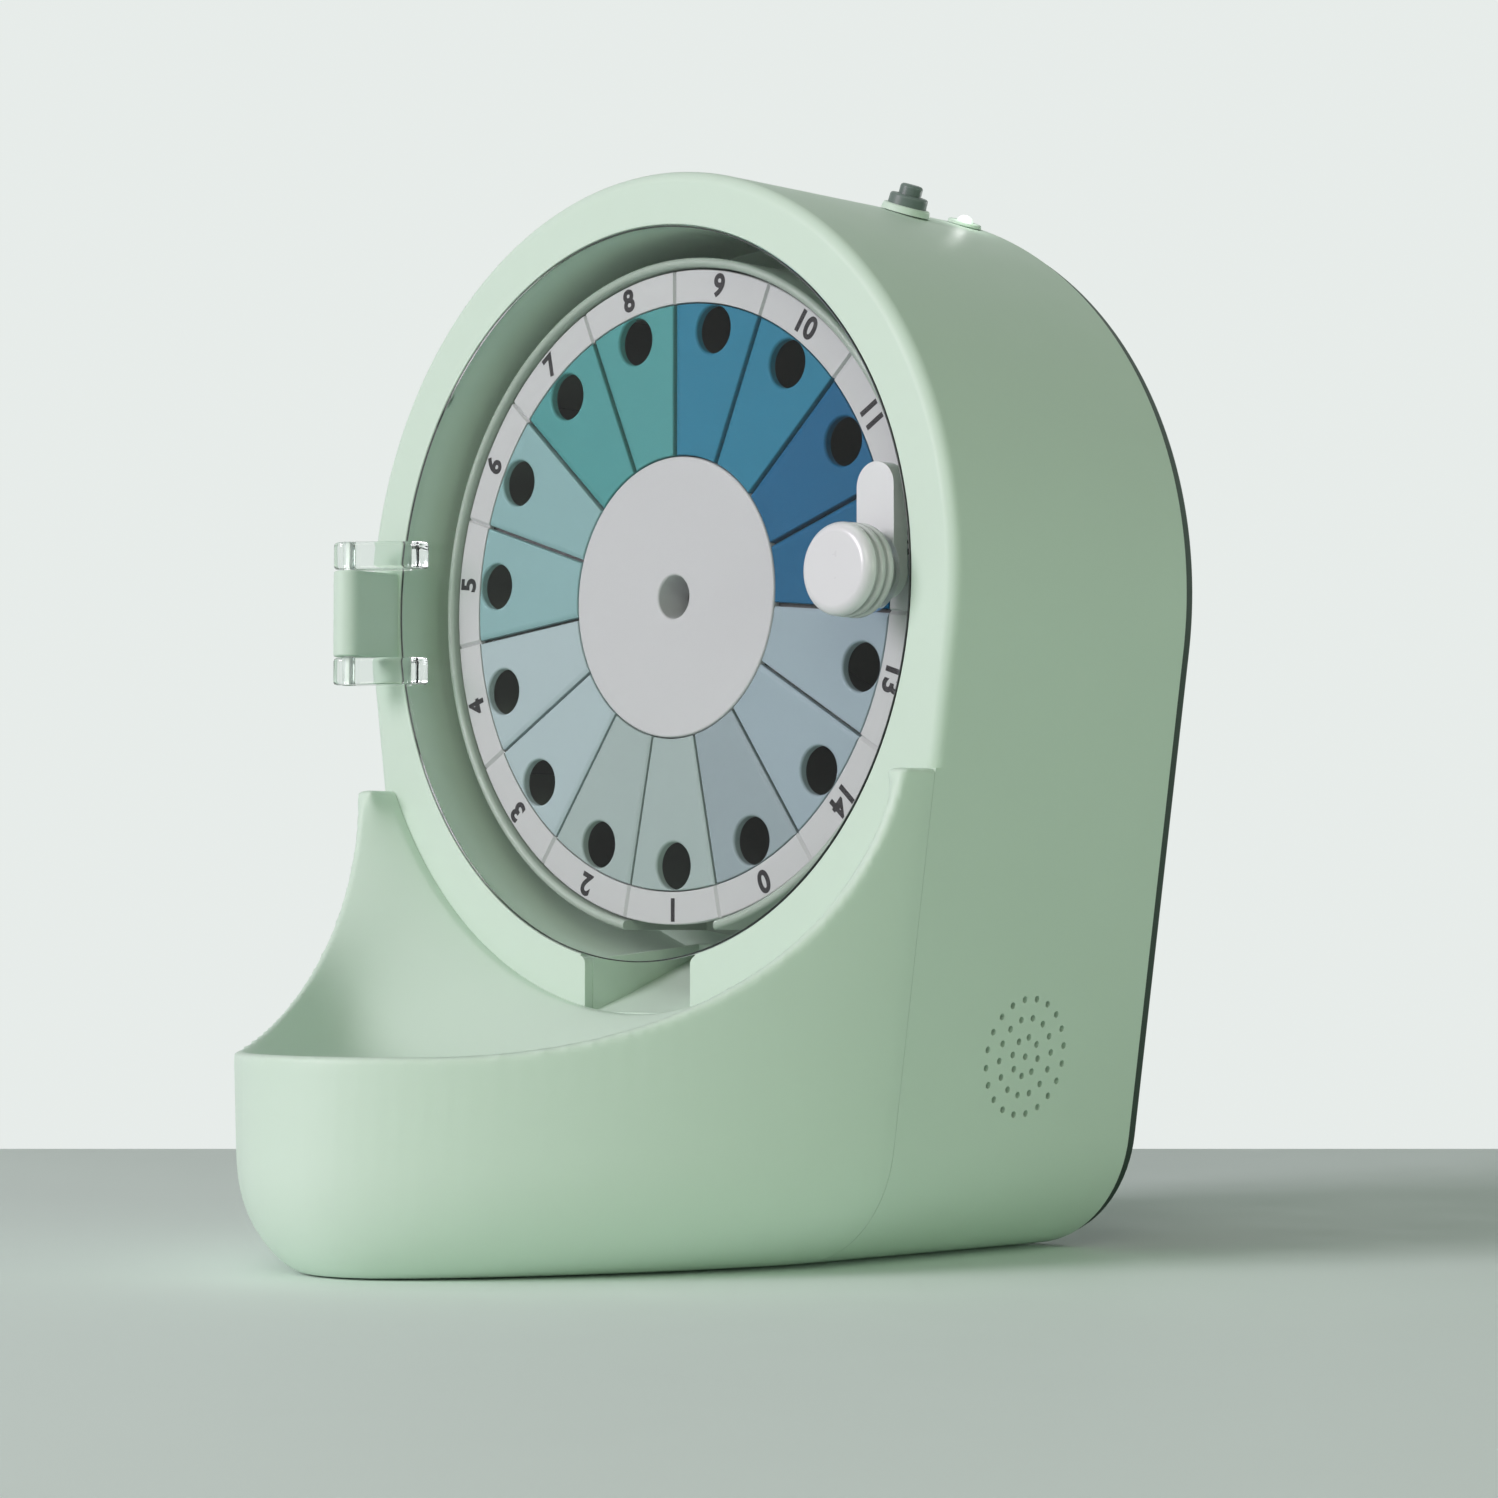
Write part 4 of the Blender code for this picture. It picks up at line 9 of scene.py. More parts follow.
import bmesh
import bpy
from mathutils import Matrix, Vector


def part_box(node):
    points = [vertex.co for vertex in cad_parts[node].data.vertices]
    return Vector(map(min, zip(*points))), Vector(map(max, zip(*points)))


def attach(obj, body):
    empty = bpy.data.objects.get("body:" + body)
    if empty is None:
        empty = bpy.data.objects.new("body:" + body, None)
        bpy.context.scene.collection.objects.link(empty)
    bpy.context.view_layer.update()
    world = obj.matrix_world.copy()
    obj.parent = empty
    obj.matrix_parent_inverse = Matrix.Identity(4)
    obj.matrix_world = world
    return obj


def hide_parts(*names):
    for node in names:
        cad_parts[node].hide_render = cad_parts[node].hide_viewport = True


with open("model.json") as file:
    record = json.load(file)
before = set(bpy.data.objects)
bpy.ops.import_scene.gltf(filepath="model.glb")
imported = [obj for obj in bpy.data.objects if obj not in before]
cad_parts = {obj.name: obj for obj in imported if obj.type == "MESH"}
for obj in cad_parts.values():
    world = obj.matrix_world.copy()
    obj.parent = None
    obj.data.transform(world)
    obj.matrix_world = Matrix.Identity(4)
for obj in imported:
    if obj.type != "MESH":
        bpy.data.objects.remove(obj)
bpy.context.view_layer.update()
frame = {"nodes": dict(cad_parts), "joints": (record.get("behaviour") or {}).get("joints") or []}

# Housing
OPENING_RADIUS = 0.0880
DIAL_HEIGHT = 0.1548
BODY_RADIUS = 0.1003
BODY_DEPTH = 0.0818
SIDE_TAPER = radians(8.54)
CORNER_RADIUS = 0.0312
FRONT_FILLET = 0.0030
MOUTH_RADIUS = 0.0875
MOUTH_DEPTH = 0.0022
MOUTH_FILLET = 0.0004
WALL = 0.0026
FRONT_WALL = 0.0022
DRUM_WALL = 0.0024
DRUM_DEPTH = 0.0440
DRUM_BACK = 0.0466
BUSH_HOLE_RADIUS = 0.0065
FIT = 0.0003

# Tray
TRAY_REACH = 0.1064
TRAY_START = 0.0026
TRAY_POWER = 1.39
BLUNTNESS = 0.20
BELLY_RADIUS = 0.0285
TRAY_FOOT_CUT = 0.0055
TRAY_RIM_HEIGHT = 0.0480
TRAY_WALL = 0.0060
TRAY_FLOOR_HEIGHT = 0.0390
WING_HEIGHT = 0.1104
WING_DEPTH = 0.0087
SCOOP_HEIGHT = 0.0674
SCOOP_LENGTH = 0.0849
FLARE_RADIUS = 0.0995
FLARE_ANGLE = radians(38)
TRAY_LEVELS = (0.0600, 0.0850)
TRAY_SPARE = 0.0090
BASIN_FILLET = 0.0060
TRAY_VOXEL = 0.0009
TRAY_SOFTENING = 7
TRAY_SHARP = radians(50)
TRAY_BACK_GAP = 0.0001
PLATE_EDGE = 0.0034
RIM_HELD = 0.0030
RIM_FREE = 0.0064
TIP_HELD = 0.0100
EDGE_HELD = 0.8
BOWL_SOFTENING = 1500
SOFTENING_FACTOR = 0.5

# Chute slot
SLOT_HALF = 0.0180
SLOT_LOW = 0.0557
SLOT_FILLET = 0.0020
SLOT_BACK = 0.0387
SLOT_OVERLAP = 0.0040
CHUTE_WALL = 0.0018
CHUTE_LIP = 0.0002
CHUTE_FLARE = 0.0100
CHUTE_BACK_RISE = 0.0036
CHUTE_BED_DROP = 0.0025

# Rear cover, feet and the small holes
COVER_FRONT = 0.0821
COVER_BACK = 0.0858
COVER_INSET = 0.0008
COVER_EDGE = 0.0012
BOSS_INSET = 0.0062
BOSS_ANGLE = radians(50)
LOWER_BOSS_HEIGHT = 0.0900
BATTERY_LEDGE = 0.0020
SCREW_HEAD_RADIUS = 0.0033
SCREW_HEAD_DEPTH = 0.0018
SCREW_SHANK_RADIUS = 0.0015
INLET_HOLE = Vector((0.0340, 0.0240))
INLET_RADIUS = 0.0053
SPEAKER_DEPTH = 0.0410
SPEAKER_HEIGHT = 0.0463
GRILLE_PITCH = 0.00445
GRILLE_HOLE_RADIUS = 0.0008
GRILLE_RING_COUNTS = (1, 8, 14, 20)
GRILLE_TURN = 0.15
FOOT_HOLE_RADIUS = 0.0063
FOOT_RECESS = 0.0011
REAR_FOOT = Vector((0.0380, 0.0680))
FRONT_FOOT = (0.0200, -0.0500)
ROOF_ANGLE = radians(21)
BUTTON_DEPTH = 0.0550
LIGHT_DEPTH = 0.0766
BUTTON_HOLE_RADIUS = 0.0045
LIGHT_HOLE_RADIUS = 0.0041

# Carousel
CUP_RADIUS = 0.0811
CUP_WALL = 0.0022
CUP_FRONT = 0.0105
CUP_BACK = 0.0437
CUP_FLOOR = 0.0022
CUP_HOLE_RADIUS = 0.0092
CUP_FILLET = 0.0010
NOTCH_SPARE = 0.0020
NOTCH_HALF_WIDTH = 0.0154
COMPARTMENTS = 15
SECTOR = 2 * pi / COMPARTMENTS
HOME_ANGLE = radians(156)
FACE_DEPTH = 0.0123
LID_BACK = 0.0143
LID_GAP = 0.0003
START_GAP = 0.0008
GROOVE = 0.0015
GROOVE_DEPTH = 0.0008
LID_EDGE_SHARE = 0.22
LID_HOLE_EDGE = 0.0007
LID_HOLE_RADIUS = 0.0057
LID_HOLE_CENTRE = 0.0644
LID_SIDE_MARGIN = radians(0.3)
BAND_INNER = 0.0706
BAND_OUTER = 0.0784
BAND_FILLETS = {0: 0.0002, 1: 0.0004}
BAND_SPARE = 0.0010
HUB_RADIUS = 0.0337
HUB_HOLE_RADIUS = 0.0052
HUB_TUBE_WALL = 0.0014
HUB_TUBE_LENGTH = 0.0080
HUB_FILLET = 0.0006
DIGIT_HEIGHT = 0.0052
FIGURE_SHARE = 0.70
DIGIT_RADIUS = 0.0746
DIGIT_WEIGHT = 0.00028
INK = 0.00004

# Door and hinge
DOOR_RADIUS = 0.0873
PANE_FRONT = 0.0
PANE_BACK = 0.0016
PANE_FILLET = 0.0004
EDGE_WIDTH = 0.0003
EDGE_DEPTH = 0.0006
EDGE_FILLET = 0.0002
SKIN = 0.00002
HINGE_X = -0.0921
HINGE_DEPTH = -0.0126
HINGE_RADIUS = 0.0040
KNUCKLE_HEIGHT = 0.0216
KNUCKLE_EDGE = 0.0005
PIN_RADIUS = 0.0018
PIN_HOLE_REACH = 0.0200
PIN_HOLE_SPARE = 0.0020
LUG_HEIGHT = 0.0068
LUG_GAP = 0.0004
LUG_EDGE = 0.0009
LUG_FOOT_INNER = -0.0757
LUG_FOOT_OUTER = -0.0830
LUG_FOOT_FRONT = -0.0040

# Latch; profiles are (radius, depth) points
LATCH_X = 0.0749
LATCH_SEAT_RADIUS = 0.0094
LATCH_SEAT_FRONT = -0.0026
LATCH_HOLE_RADIUS = 0.0033
LATCH_HOLE_ENDS = (-0.0040, 0.0060)
WINDOW_SPARE = 0.0010
WINDOW_HEIGHT = 0.0260
WINDOW_BACK = 0.0075
KNOB_PROFILE = (
    (0, -0.0060), (0.0048, -0.0060), (0.0048, -0.0080), (0.0096, -0.0080), (0.0096, -0.0073),
    (0.0106, -0.0073), (0.0106, -0.0056), (0.0096, -0.0056), (0.0096, -0.0046), (0.0106, -0.0046),
    (0.0106, -0.0029), (0.0030, -0.0029), (0.0030, 0.0070), (0.0015, 0.0070), (0.0015, 0.0010),
    (0, 0.0010),
)
KNOB_FILLETS = dict.fromkeys((5, 6, 9, 10), 0.0006)
KNOB_LENGTH = 0.0083
CROWN_RADIUS = 0.0105
CROWN_THICKNESS = 0.0029
STEM_RADIUS = 0.0045
CROWN_FILLETS = {1: 0.0024, 2: 0.0004}
CAM_HOLE_MARGIN = 0.0040
TAB_EDGE = 0.0020
TAB_BACK_SHARE = 0.3

# Lamp in the roof
LENS_FOOT = -0.0157
LENS_RADIUS = 0.0021
LENS_SILL = 0.0009
LENS_RISE = 0.0017
LAMP_STRENGTH = 0.30
GLOW_POWER = 0.0011
GLOW_SIZE = 0.0010
GLOW_LIFT = 0.0042
GLOW_REACH = 0.0045

# Fineness: steps in a full turn, then in an arc
FINE_ROUND = 384
ROUND = 192
CROWN_ROUND = 128
KNOB_ROUND = 96
LID_HOLE_ROUND = 72
RING_ROUND = 64
SMALL = 48
EYE_ROUND = 32
PIN_ROUND = 20
TINY = 14
CAM_ARC = 28
LUG_ARC = 24

# Stage
VIEW_ANGLE = radians(44.74)
FLOOR_SIDE = 1.60
FLOOR_BACK = 0.425
FLOOR_AHEAD = 1.20
FLOOR_COLOUR = (0.765, 0.885, 0.815)
FILL_STRENGTH = 0.02
BACKDROP_COLOUR = (0.80, 0.84, 0.82)
BACKDROP_STRENGTH = 1.0
CAMERA_PLACE = (0.6324, -0.6005, 0.0739)
CAMERA_TILT = radians(92.89)
CAMERA_LENS = 88.63
CAMERA_SENSOR = 36
CAMERA_NEAR = 0.01
LIGHT_TARGET = Vector((0, 0, 0.12))
LAMPS = (  # name, place, diameter, watts, colour
    ("key_light", (-0.80, -2.50, 1.10), 1.3, 54.5, (1.0, 0.885, 0.99)),
    ("view_light", (1.50, -1.90, 1.20), 1.4, 12.5, (1.0, 1.0, 0.86)),
    ("lowright_light", (2.30, -0.90, 0.32), 0.6, 3.8, (0.92, 1.0, 0.90)),
    ("right_light", (2.40, 0.60, 0.40), 0.7, 7.8, (0.85, 1.0, 0.80)),
    ("top_light", (-0.30, -0.40, 2.40), 1.6, 8.0, (0.92, 1.0, 0.96)),
)

# Where the housing's front face and underside lie in the frame, and what follows from it
LATCH_AXIS = next(item["pos_m"] for item in frame["joints"] if item["name"] == "latch_turn")
FRONT = LATCH_AXIS[1]
FOOT = LATCH_AXIS[2] - DIAL_HEIGHT
DIAL = Vector((0, FRONT, FOOT + DIAL_HEIGHT))
BASE = Vector((0, FRONT, FOOT))
LATCH_SPOT = DIAL + Vector((LATCH_X, 0, 0))
SIDE_VIEW = (pi / 2, 0, pi / 2)
SIDE_OFFSET = BODY_RADIUS - DIAL_HEIGHT * sin(SIDE_TAPER)
CORNER_X = ((SIDE_OFFSET - CORNER_RADIUS + CORNER_RADIUS * sin(SIDE_TAPER))
            / cos(SIDE_TAPER))

# Shape making: how far cutters run out, the sharpest angle left smooth, and tolerances
OVERRUN = 0.0050
SHARP = radians(32)
NEAR = 1e-6
FACES_UP = 0.9
STRAIGHT = 0.001

# Surfaces: how gloss and colour vary
GLOSS_SPREAD = 0.07
METAL_SHADE = 0.86
METAL_GLOSS = (0.7, 1.4)
CLEAR_GLOSS = (0.018, 0.048)
LENS_GLOSS = (0.15, 0.30)
FLOOR_GLOSS = (0.55, 0.75)
FLOOR_SHADES = (0.985, 1.015)


# Finishes

def new_material(name):
    made = bpy.data.materials.new(name)
    made.use_nodes = True
    return made, made.node_tree, made.node_tree.nodes["Principled BSDF"]


def add(tree, kind, **settings):
    """A node with the given sockets and properties set."""
    node = tree.nodes.new(kind)
    for key, value in settings.items():
        if key in node.inputs:
            node.inputs[key].default_value = value
        else:
            setattr(node, key, value)
    return node


def put(node, values):
    """Set a node's sockets by name."""
    for name, value in values.items():
        node.inputs[name].default_value = value


def noise(tree, scale, detail=2.0):
    """Noise on the object's own coordinates, so that it rides with the piece."""
    place = add(tree, "ShaderNodeTexCoord")
    node = add(tree, "ShaderNodeTexNoise", Scale=scale, Detail=detail)
    tree.links.new(place.outputs["Object"], node.inputs["Vector"])
    return node.outputs["Fac"]


def vary_colour(tree, shader, pattern, first, second):
    """Let the colour follow a pattern from one to another."""
    node = add(tree, "ShaderNodeMix", data_type="RGBA")
    for name, colour in (("A", first), ("B", second)):
        socket = next(item for item in node.inputs if item.name == name and item.type == "RGBA")
        socket.default_value = (*colour, 1)
    tree.links.new(pattern, node.inputs["Factor"])
    result = next(item for item in node.outputs if item.type == "RGBA")
    tree.links.new(result, shader.inputs["Base Color"])


def vary_gloss(tree, shader, pattern, low, high):
    """Let the roughness follow a pattern from one value to another."""
    node = add(tree, "ShaderNodeMapRange")
    put(node, {"To Min": low, "To Max": high})
    tree.links.new(pattern, node.inputs["Value"])
    tree.links.new(node.outputs["Result"], shader.inputs["Roughness"])


def roughen(tree, shader, pattern, strength, height):
    """Give the surface a fine relief from a pattern."""
    bump = add(tree, "ShaderNodeBump", Strength=strength, Distance=height)
    tree.links.new(pattern, bump.inputs["Height"])
    tree.links.new(bump.outputs["Normal"], shader.inputs["Normal"])


def any_ray(tree, *rays):
    """1 for the named kinds of ray, 0 for the others."""
    path = add(tree, "ShaderNodeLightPath")
    shows = path.outputs[rays[0]]
    for ray in rays[1:]:
        either = add(tree, "ShaderNodeMath", operation="MAXIMUM")
        tree.links.new(shows, either.inputs[0])
        tree.links.new(path.outputs[ray], either.inputs[1])
        shows = either.outputs[0]
    return shows


def blend_shaders(tree, factor, first, second, output):
    mix = add(tree, "ShaderNodeMixShader")
    for index, source in enumerate((factor, first.outputs[0], second.outputs[0])):
        tree.links.new(source, mix.inputs[index])
    tree.links.new(mix.outputs[0], output.inputs["Surface"])


def moulded(name, colour, roughness, grain=0.05, mottle=0.03, coat=0.0, subsurface=0.0, shine=0.5):
    """Moulded plastic: a fine spark-eroded grain, faint colour drift and uneven gloss."""
    made, tree, shader = new_material(name)
    light = tuple(value * (1 + mottle) for value in colour)
    dark = tuple(value * (1 - mottle) for value in colour)
    vary_colour(tree, shader, noise(tree, scale=22, detail=3), dark, light)
    vary_gloss(tree, shader, noise(tree, scale=130, detail=4),
               roughness - GLOSS_SPREAD, roughness + GLOSS_SPREAD)
    roughen(tree, shader, noise(tree, scale=2600, detail=3), grain, height=0.0002)
    put(shader, {"Specular IOR Level": shine, "Coat Weight": coat, "Coat Roughness": 0.12})
    if subsurface:
        put(shader, {"Subsurface Weight": subsurface, "Subsurface Radius": (1.0, 1.0, 0.8),
                     "Subsurface Scale": 0.0015})
    return made


def machined(name, colour, roughness, turning=900):
    """Turned or drawn metal with fine marks and uneven gloss."""
    made, tree, shader = new_material(name)
    put(shader, {"Metallic": 1})
    dark = tuple(value * METAL_SHADE for value in colour)
    vary_colour(tree, shader, noise(tree, scale=60, detail=3), dark, colour)
    marks = noise(tree, scale=turning, detail=5)
    vary_gloss(tree, shader, marks, *(roughness * share for share in METAL_GLOSS))
    roughen(tree, shader, marks, strength=0.08, height=0.0001)
    return made


def clear_plastic(name, tint, index):
    """Clear moulded plastic; shadow and diffuse rays pass it, so that what lies behind is lit."""
    made, tree, shader = new_material(name)
    vary_gloss(tree, shader, noise(tree, scale=90), *CLEAR_GLOSS)
    put(shader, {"Base Color": (*tint, 1), "Transmission Weight": 1, "IOR": index})
    through = add(tree, "ShaderNodeBsdfTransparent", Color=(*tint, 1))
    blend_shaders(tree, any_ray(tree, "Is Shadow Ray", "Is Diffuse Ray"), shader, through,
                  tree.nodes["Material Output"])
    return made


def lamp_material(name, colour, strength):
    """A lit lens, its gloss slightly uneven."""
    made, tree, shader = new_material(name)
    vary_gloss(tree, shader, noise(tree, scale=400), *LENS_GLOSS)
    put(shader, {"Base Color": (*colour, 1), "Emission Color": (*colour, 1),
                 "Emission Strength": strength})
    return made


MINT = moulded("mint_plastic", (0.590, 0.745, 0.620), 0.46, grain=0.06, mottle=0.012,
               subsurface=0.08, shine=0.28)
# The cup wall's mint is a darker copy of the tray's mint: painted shade for the dim drum behind
# the door
CUP_MINT_PAINTED_SHADE = moulded("cup_plastic", (0.34, 0.42, 0.355), 0.45, mottle=0.02, shine=0.35)
COVER_GREEN = moulded("cover_plastic", (0.014, 0.036, 0.022), 0.48, grain=0.16, mottle=0.10)
WHITE = moulded("white_plastic", (0.655, 0.685, 0.680), 0.30, grain=0.02, mottle=0.012, coat=0.25)
HUB_WHITE = moulded("hub_plastic", (0.522, 0.545, 0.545), 0.55, mottle=0.015, shine=0.25)
BAND_WHITE = moulded("band_print", (0.515, 0.540, 0.535), 0.6, grain=0.04, mottle=0.012, shine=0.2)
INK_BLACK = moulded("printed_ink", (0.010, 0.010, 0.011), 0.6, grain=0.02, mottle=0.05, shine=0.2)
GREY = moulded("grey_plastic", (0.105, 0.150, 0.130), 0.42, grain=0.06, mottle=0.05)
WHEEL_GREY = moulded("wheel_plastic", (0.055, 0.062, 0.060), 0.55, mottle=0.06)
RUBBER = moulded("foot_rubber", (0.025, 0.026, 0.026), 0.8, grain=0.25, mottle=0.08)
BOARD = moulded("board_lacquer", (0.015, 0.11, 0.045), 0.35, grain=0.12, mottle=0.15)
NYLON = moulded("gear_nylon", (0.68, 0.66, 0.58), 0.45, grain=0.04)
WRAP = moulded("battery_wrap", (0.04, 0.09, 0.24), 0.3, grain=0.03, mottle=0.05, coat=0.3)
SPEAKER_BLACK = moulded("speaker_cone", (0.03, 0.03, 0.032), 0.6, grain=0.2, mottle=0.1)
# The grip's grey is a darker copy of the white plastic: painted shade and painted reflection for
# the dark bands on a glossy knob, over a real satin gloss
SATIN_AND_PAINTED_SHADE = moulded("latch_satin", (0.50, 0.54, 0.52), 0.24, grain=0.02, mottle=0.012, coat=0.4)
# Near black: painted shade for the shadow gap round the door's rim
PAINTED_GAP_SHADE = moulded("edge_shade", (0.012, 0.018, 0.015), 0.4, grain=0.03, mottle=0.1)
STEEL = machined("steel", (0.60, 0.60, 0.61), 0.28)
PIN_STEEL = machined("pin_steel", (0.84, 0.86, 0.85), 0.34, turning=3500)
BRONZE = machined("bronze", (0.45, 0.29, 0.13), 0.4)
CLEAR = clear_plastic("clear_plastic", (0.985, 0.992, 0.988), 1.20)
CLEAR_THICK = clear_plastic("clear_plastic_thick", (0.87, 0.91, 0.885), 1.46)
LAMP = lamp_material("lit_lens", (0.80, 0.96, 0.84), LAMP_STRENGTH)
LID_COLOURS = (  # the home lid, then one for each pair of lids
    (0.262, 0.334, 0.354),
    (0.329, 0.417, 0.400),
    (0.374, 0.480, 0.492),
    (0.229, 0.400, 0.403),
    (0.070, 0.280, 0.275),
    (0.019, 0.170, 0.262),
    (0.004, 0.092, 0.193),
    (0.285, 0.374, 0.411),
)
LID_LOOKS = [moulded(f"lid_plastic_{index}", colour, 0.55, mottle=0.02, shine=0.15)
             for index, colour in enumerate(LID_COLOURS)]


# Shape helpers

def arc(centre, radius, start, end, steps):
    """Points along an arc, ends included, angles counted anticlockwise from +x."""
    angles = [start + (end - start) * index / steps for index in range(steps + 1)]
    return [(centre[0] + radius * cos(angle), centre[1] + radius * sin(angle))
            for angle in angles]


def quarter(steps):
    """Angles from 0 to a right angle, both included."""
    return [pi / 2 * index / steps for index in range(steps + 1)]


def circle(centre, radius, steps):
    return arc(centre, radius, 0, 2 * pi, steps)[:-1]


def rectangle(low, high):
    return [(low[0], low[1]), (high[0], low[1]), (high[0], high[1]), (low[0], high[1])]


def linked(name, data):
    """A new object that holds the data, linked to the scene."""
    made = bpy.data.objects.new(name, data)
    bpy.context.scene.collection.objects.link(made)
    return made


def object_from(shape, name="shape"):
    """Turn a bmesh into a linked object with outward faces."""
    bmesh.ops.recalc_face_normals(shape, faces=shape.faces)
    mesh = bpy.data.meshes.new(name)
    shape.to_mesh(mesh)
    shape.free()
    return linked(name, mesh)


def evaluated_mesh(obj):
    """A new mesh of an object with its modifiers, or of a curve or text."""
    bpy.context.view_layer.update()
    graph = bpy.context.evaluated_depsgraph_get()
    return bpy.data.meshes.new_from_object(obj.evaluated_get(graph))


def settle(obj):
    """Apply an object's modifiers."""
    mesh = evaluated_mesh(obj)
    obj.modifiers.clear()
    obj.data = mesh
    return obj


def taken(obj):
    """The evaluated mesh of an object that isn't needed any more."""
    mesh = evaluated_mesh(obj)
    bpy.data.objects.remove(obj, do_unlink=True)
    return mesh


def prism(outlines, low, high):
    """Extrude flat outlines along local z; an outline inside another one is a hole."""
    curve = bpy.data.curves.new("outline", "CURVE")
    curve.dimensions = "2D"
    curve.fill_mode = "BOTH"
    curve.extrude = (high - low) / 2
    for outline in outlines:
        spline = curve.splines.new("POLY")
        spline.points.add(len(outline) - 1)
        for point, (x, y) in zip(spline.points, outline):
            point.co = (x, y, 0, 1)
        spline.use_cyclic_u = True
    shape = bmesh.new()
    shape.from_mesh(taken(linked("outline", curve)))
    bmesh.ops.remove_doubles(shape, verts=shape.verts, dist=NEAR)
    flat = [edge for edge in shape.edges
            if all(abs(face.normal.z) > FACES_UP for face in edge.link_faces)]
    bmesh.ops.dissolve_limit(shape, angle_limit=STRAIGHT, verts=[], edges=flat)
    bmesh.ops.translate(shape, verts=shape.verts, vec=(0, 0, (low + high) / 2))
    return object_from(shape)


def upright(obj, spot=DIAL):
    """Stand a piece made in the front view up at a spot."""
    return at(obj, spot, (pi / 2, 0, 0))


def bar(radius, low, high, steps=SMALL, centre=(0, 0)):
    """A round bar along local z."""
    return prism([circle(centre, radius, steps)], low, high)


def front_prism(outline, front, back):
    """Extrude a front-view outline from one depth to another, standing in place over the base."""
    return upright(prism([outline], -back, -front), BASE)


def at(obj, location, rotation=(0, 0, 0)):
    """Place an object and hand it back."""
    obj.location = location
    obj.rotation_euler = rotation
    return obj


def lathe(profile, steps):
    """Turn (radius, depth) points about local z, depth along -z; a profile may end on the axis."""
    shape = bmesh.new()
    closed = min(profile[0][0], profile[-1][0]) > 0
    rings = []
    for radius, depth in profile:
        if radius == 0:
            rings.append([shape.verts.new((0, 0, -depth))])
            continue
        ring = []
        for index in range(steps):
            angle = 2 * pi * index / steps
            point = (radius * cos(angle), radius * sin(angle), -depth)
            ring.append(shape.verts.new(point))
        rings.append(ring)
    pairs = list(zip(rings, rings[1:]))
    if closed:
        pairs.append((rings[-1], rings[0]))
    for one, other in pairs:
        for index in range(steps):
            after = (index + 1) % steps
            if len(one) == 1:
                shape.faces.new((one[0], other[index], other[after]))
            elif len(other) == 1:
                shape.faces.new((one[index], other[0], one[after]))
            else:
                shape.faces.new((one[index], other[index], other[after], one[after]))
    return object_from(shape)


def fillet(corner, start, end, radius, steps):
    """Round a profile corner between the directions to its two neighbours."""
    corner = Vector(corner)
    one = (Vector(start) - corner).normalized()
    two = (Vector(end) - corner).normalized()
    half = one.angle(two) / 2
    reach = radius / tan(half)
    centre = corner + (one + two).normalized() * radius / sin(half)
    first = corner + one * reach - centre
    last = corner + two * reach - centre
    turn = first.angle_signed(last)
    points = []
    for index in range(steps + 1):
        angle = -turn * index / steps
        spun = Vector((first.x * cos(angle) - first.y * sin(angle),
                       first.x * sin(angle) + first.y * cos(angle)))
        points.append(tuple(centre + spun))
    return points


def rounded(profile, radii, steps=5):
    """Round some corners of a closed profile; radii maps a corner's index to its radius."""
    points = []
    count = len(profile)
    for index, corner in enumerate(profile):
        if index in radii:
            before = profile[(index - 1) % count]
            after = profile[(index + 1) % count]
            points += fillet(corner, before, after, radii[index], steps)
        else:
            points.append(corner)
    return points


def loft(rings):
    """Skin closed rings of equal length, with both ends capped."""
    shape = bmesh.new()
    rows = [[shape.verts.new(point) for point in ring] for ring in rings]
    for lower, upper in zip(rows, rows[1:]):
        for index in range(len(lower)):
            after = (index + 1) % len(lower)
            shape.faces.new((lower[index], lower[after], upper[after], upper[index]))
    shape.faces.new(list(reversed(rows[0])))
    shape.faces.new(rows[-1])
    bmesh.ops.triangulate(shape, faces=[face for face in shape.faces if len(face.verts) == 4])
    return object_from(shape)


def carve(obj, tool, operation="DIFFERENCE"):
    """Cut, join or intersect with a tool, which is then removed."""
    step = obj.modifiers.new("carve", "BOOLEAN")
    step.operation = operation
    step.solver = "EXACT"
    step.object = tool
    settle(obj)
    bpy.data.objects.remove(tool, do_unlink=True)
    return obj


def together(tools):
    """Join separate closed tools into one object."""
    shape = bmesh.new()
    for item in tools:
        place = item.matrix_basis.copy()
        mesh = taken(item)
        mesh.transform(place)
        shape.from_mesh(mesh)
    return object_from(shape)


def bevel(obj, width, segments, weight_of=None):
    """Round the sharp edges, or each edge by the weight that its two local ends give it."""
    mesh = obj.data
    if weight_of:
        weights = mesh.attributes.new("bevel_weight_edge", "FLOAT", "EDGE")
        for edge in mesh.edges:
            ends = (mesh.vertices[index].co for index in edge.vertices)
            weights.data[edge.index].value = weight_of(*ends)
    step = obj.modifiers.new("edge", "BEVEL")
    step.width = width
    step.segments = segments
    step.limit_method = "WEIGHT" if weight_of else "ANGLE"
    step.angle_limit = SHARP
    step.use_clamp_overlap = True
    return settle(obj)


def dress(obj, name, look, body, *nodes, slot=None):
    """Finish a piece: name, material, shading, the body it rides on and what it stands for."""
    obj.name = name
    obj.data.name = name
    obj.data.materials.clear()
    obj.data.materials.append(look)
    obj.data.shade_smooth()
    obj.data.set_sharp_from_angle(angle=SHARP)
    obj.modifiers.new("shading", "WEIGHTED_NORMAL").keep_sharp = True
    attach(obj, body)
    if nodes:
        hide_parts(*nodes)
    return obj


# Outlines

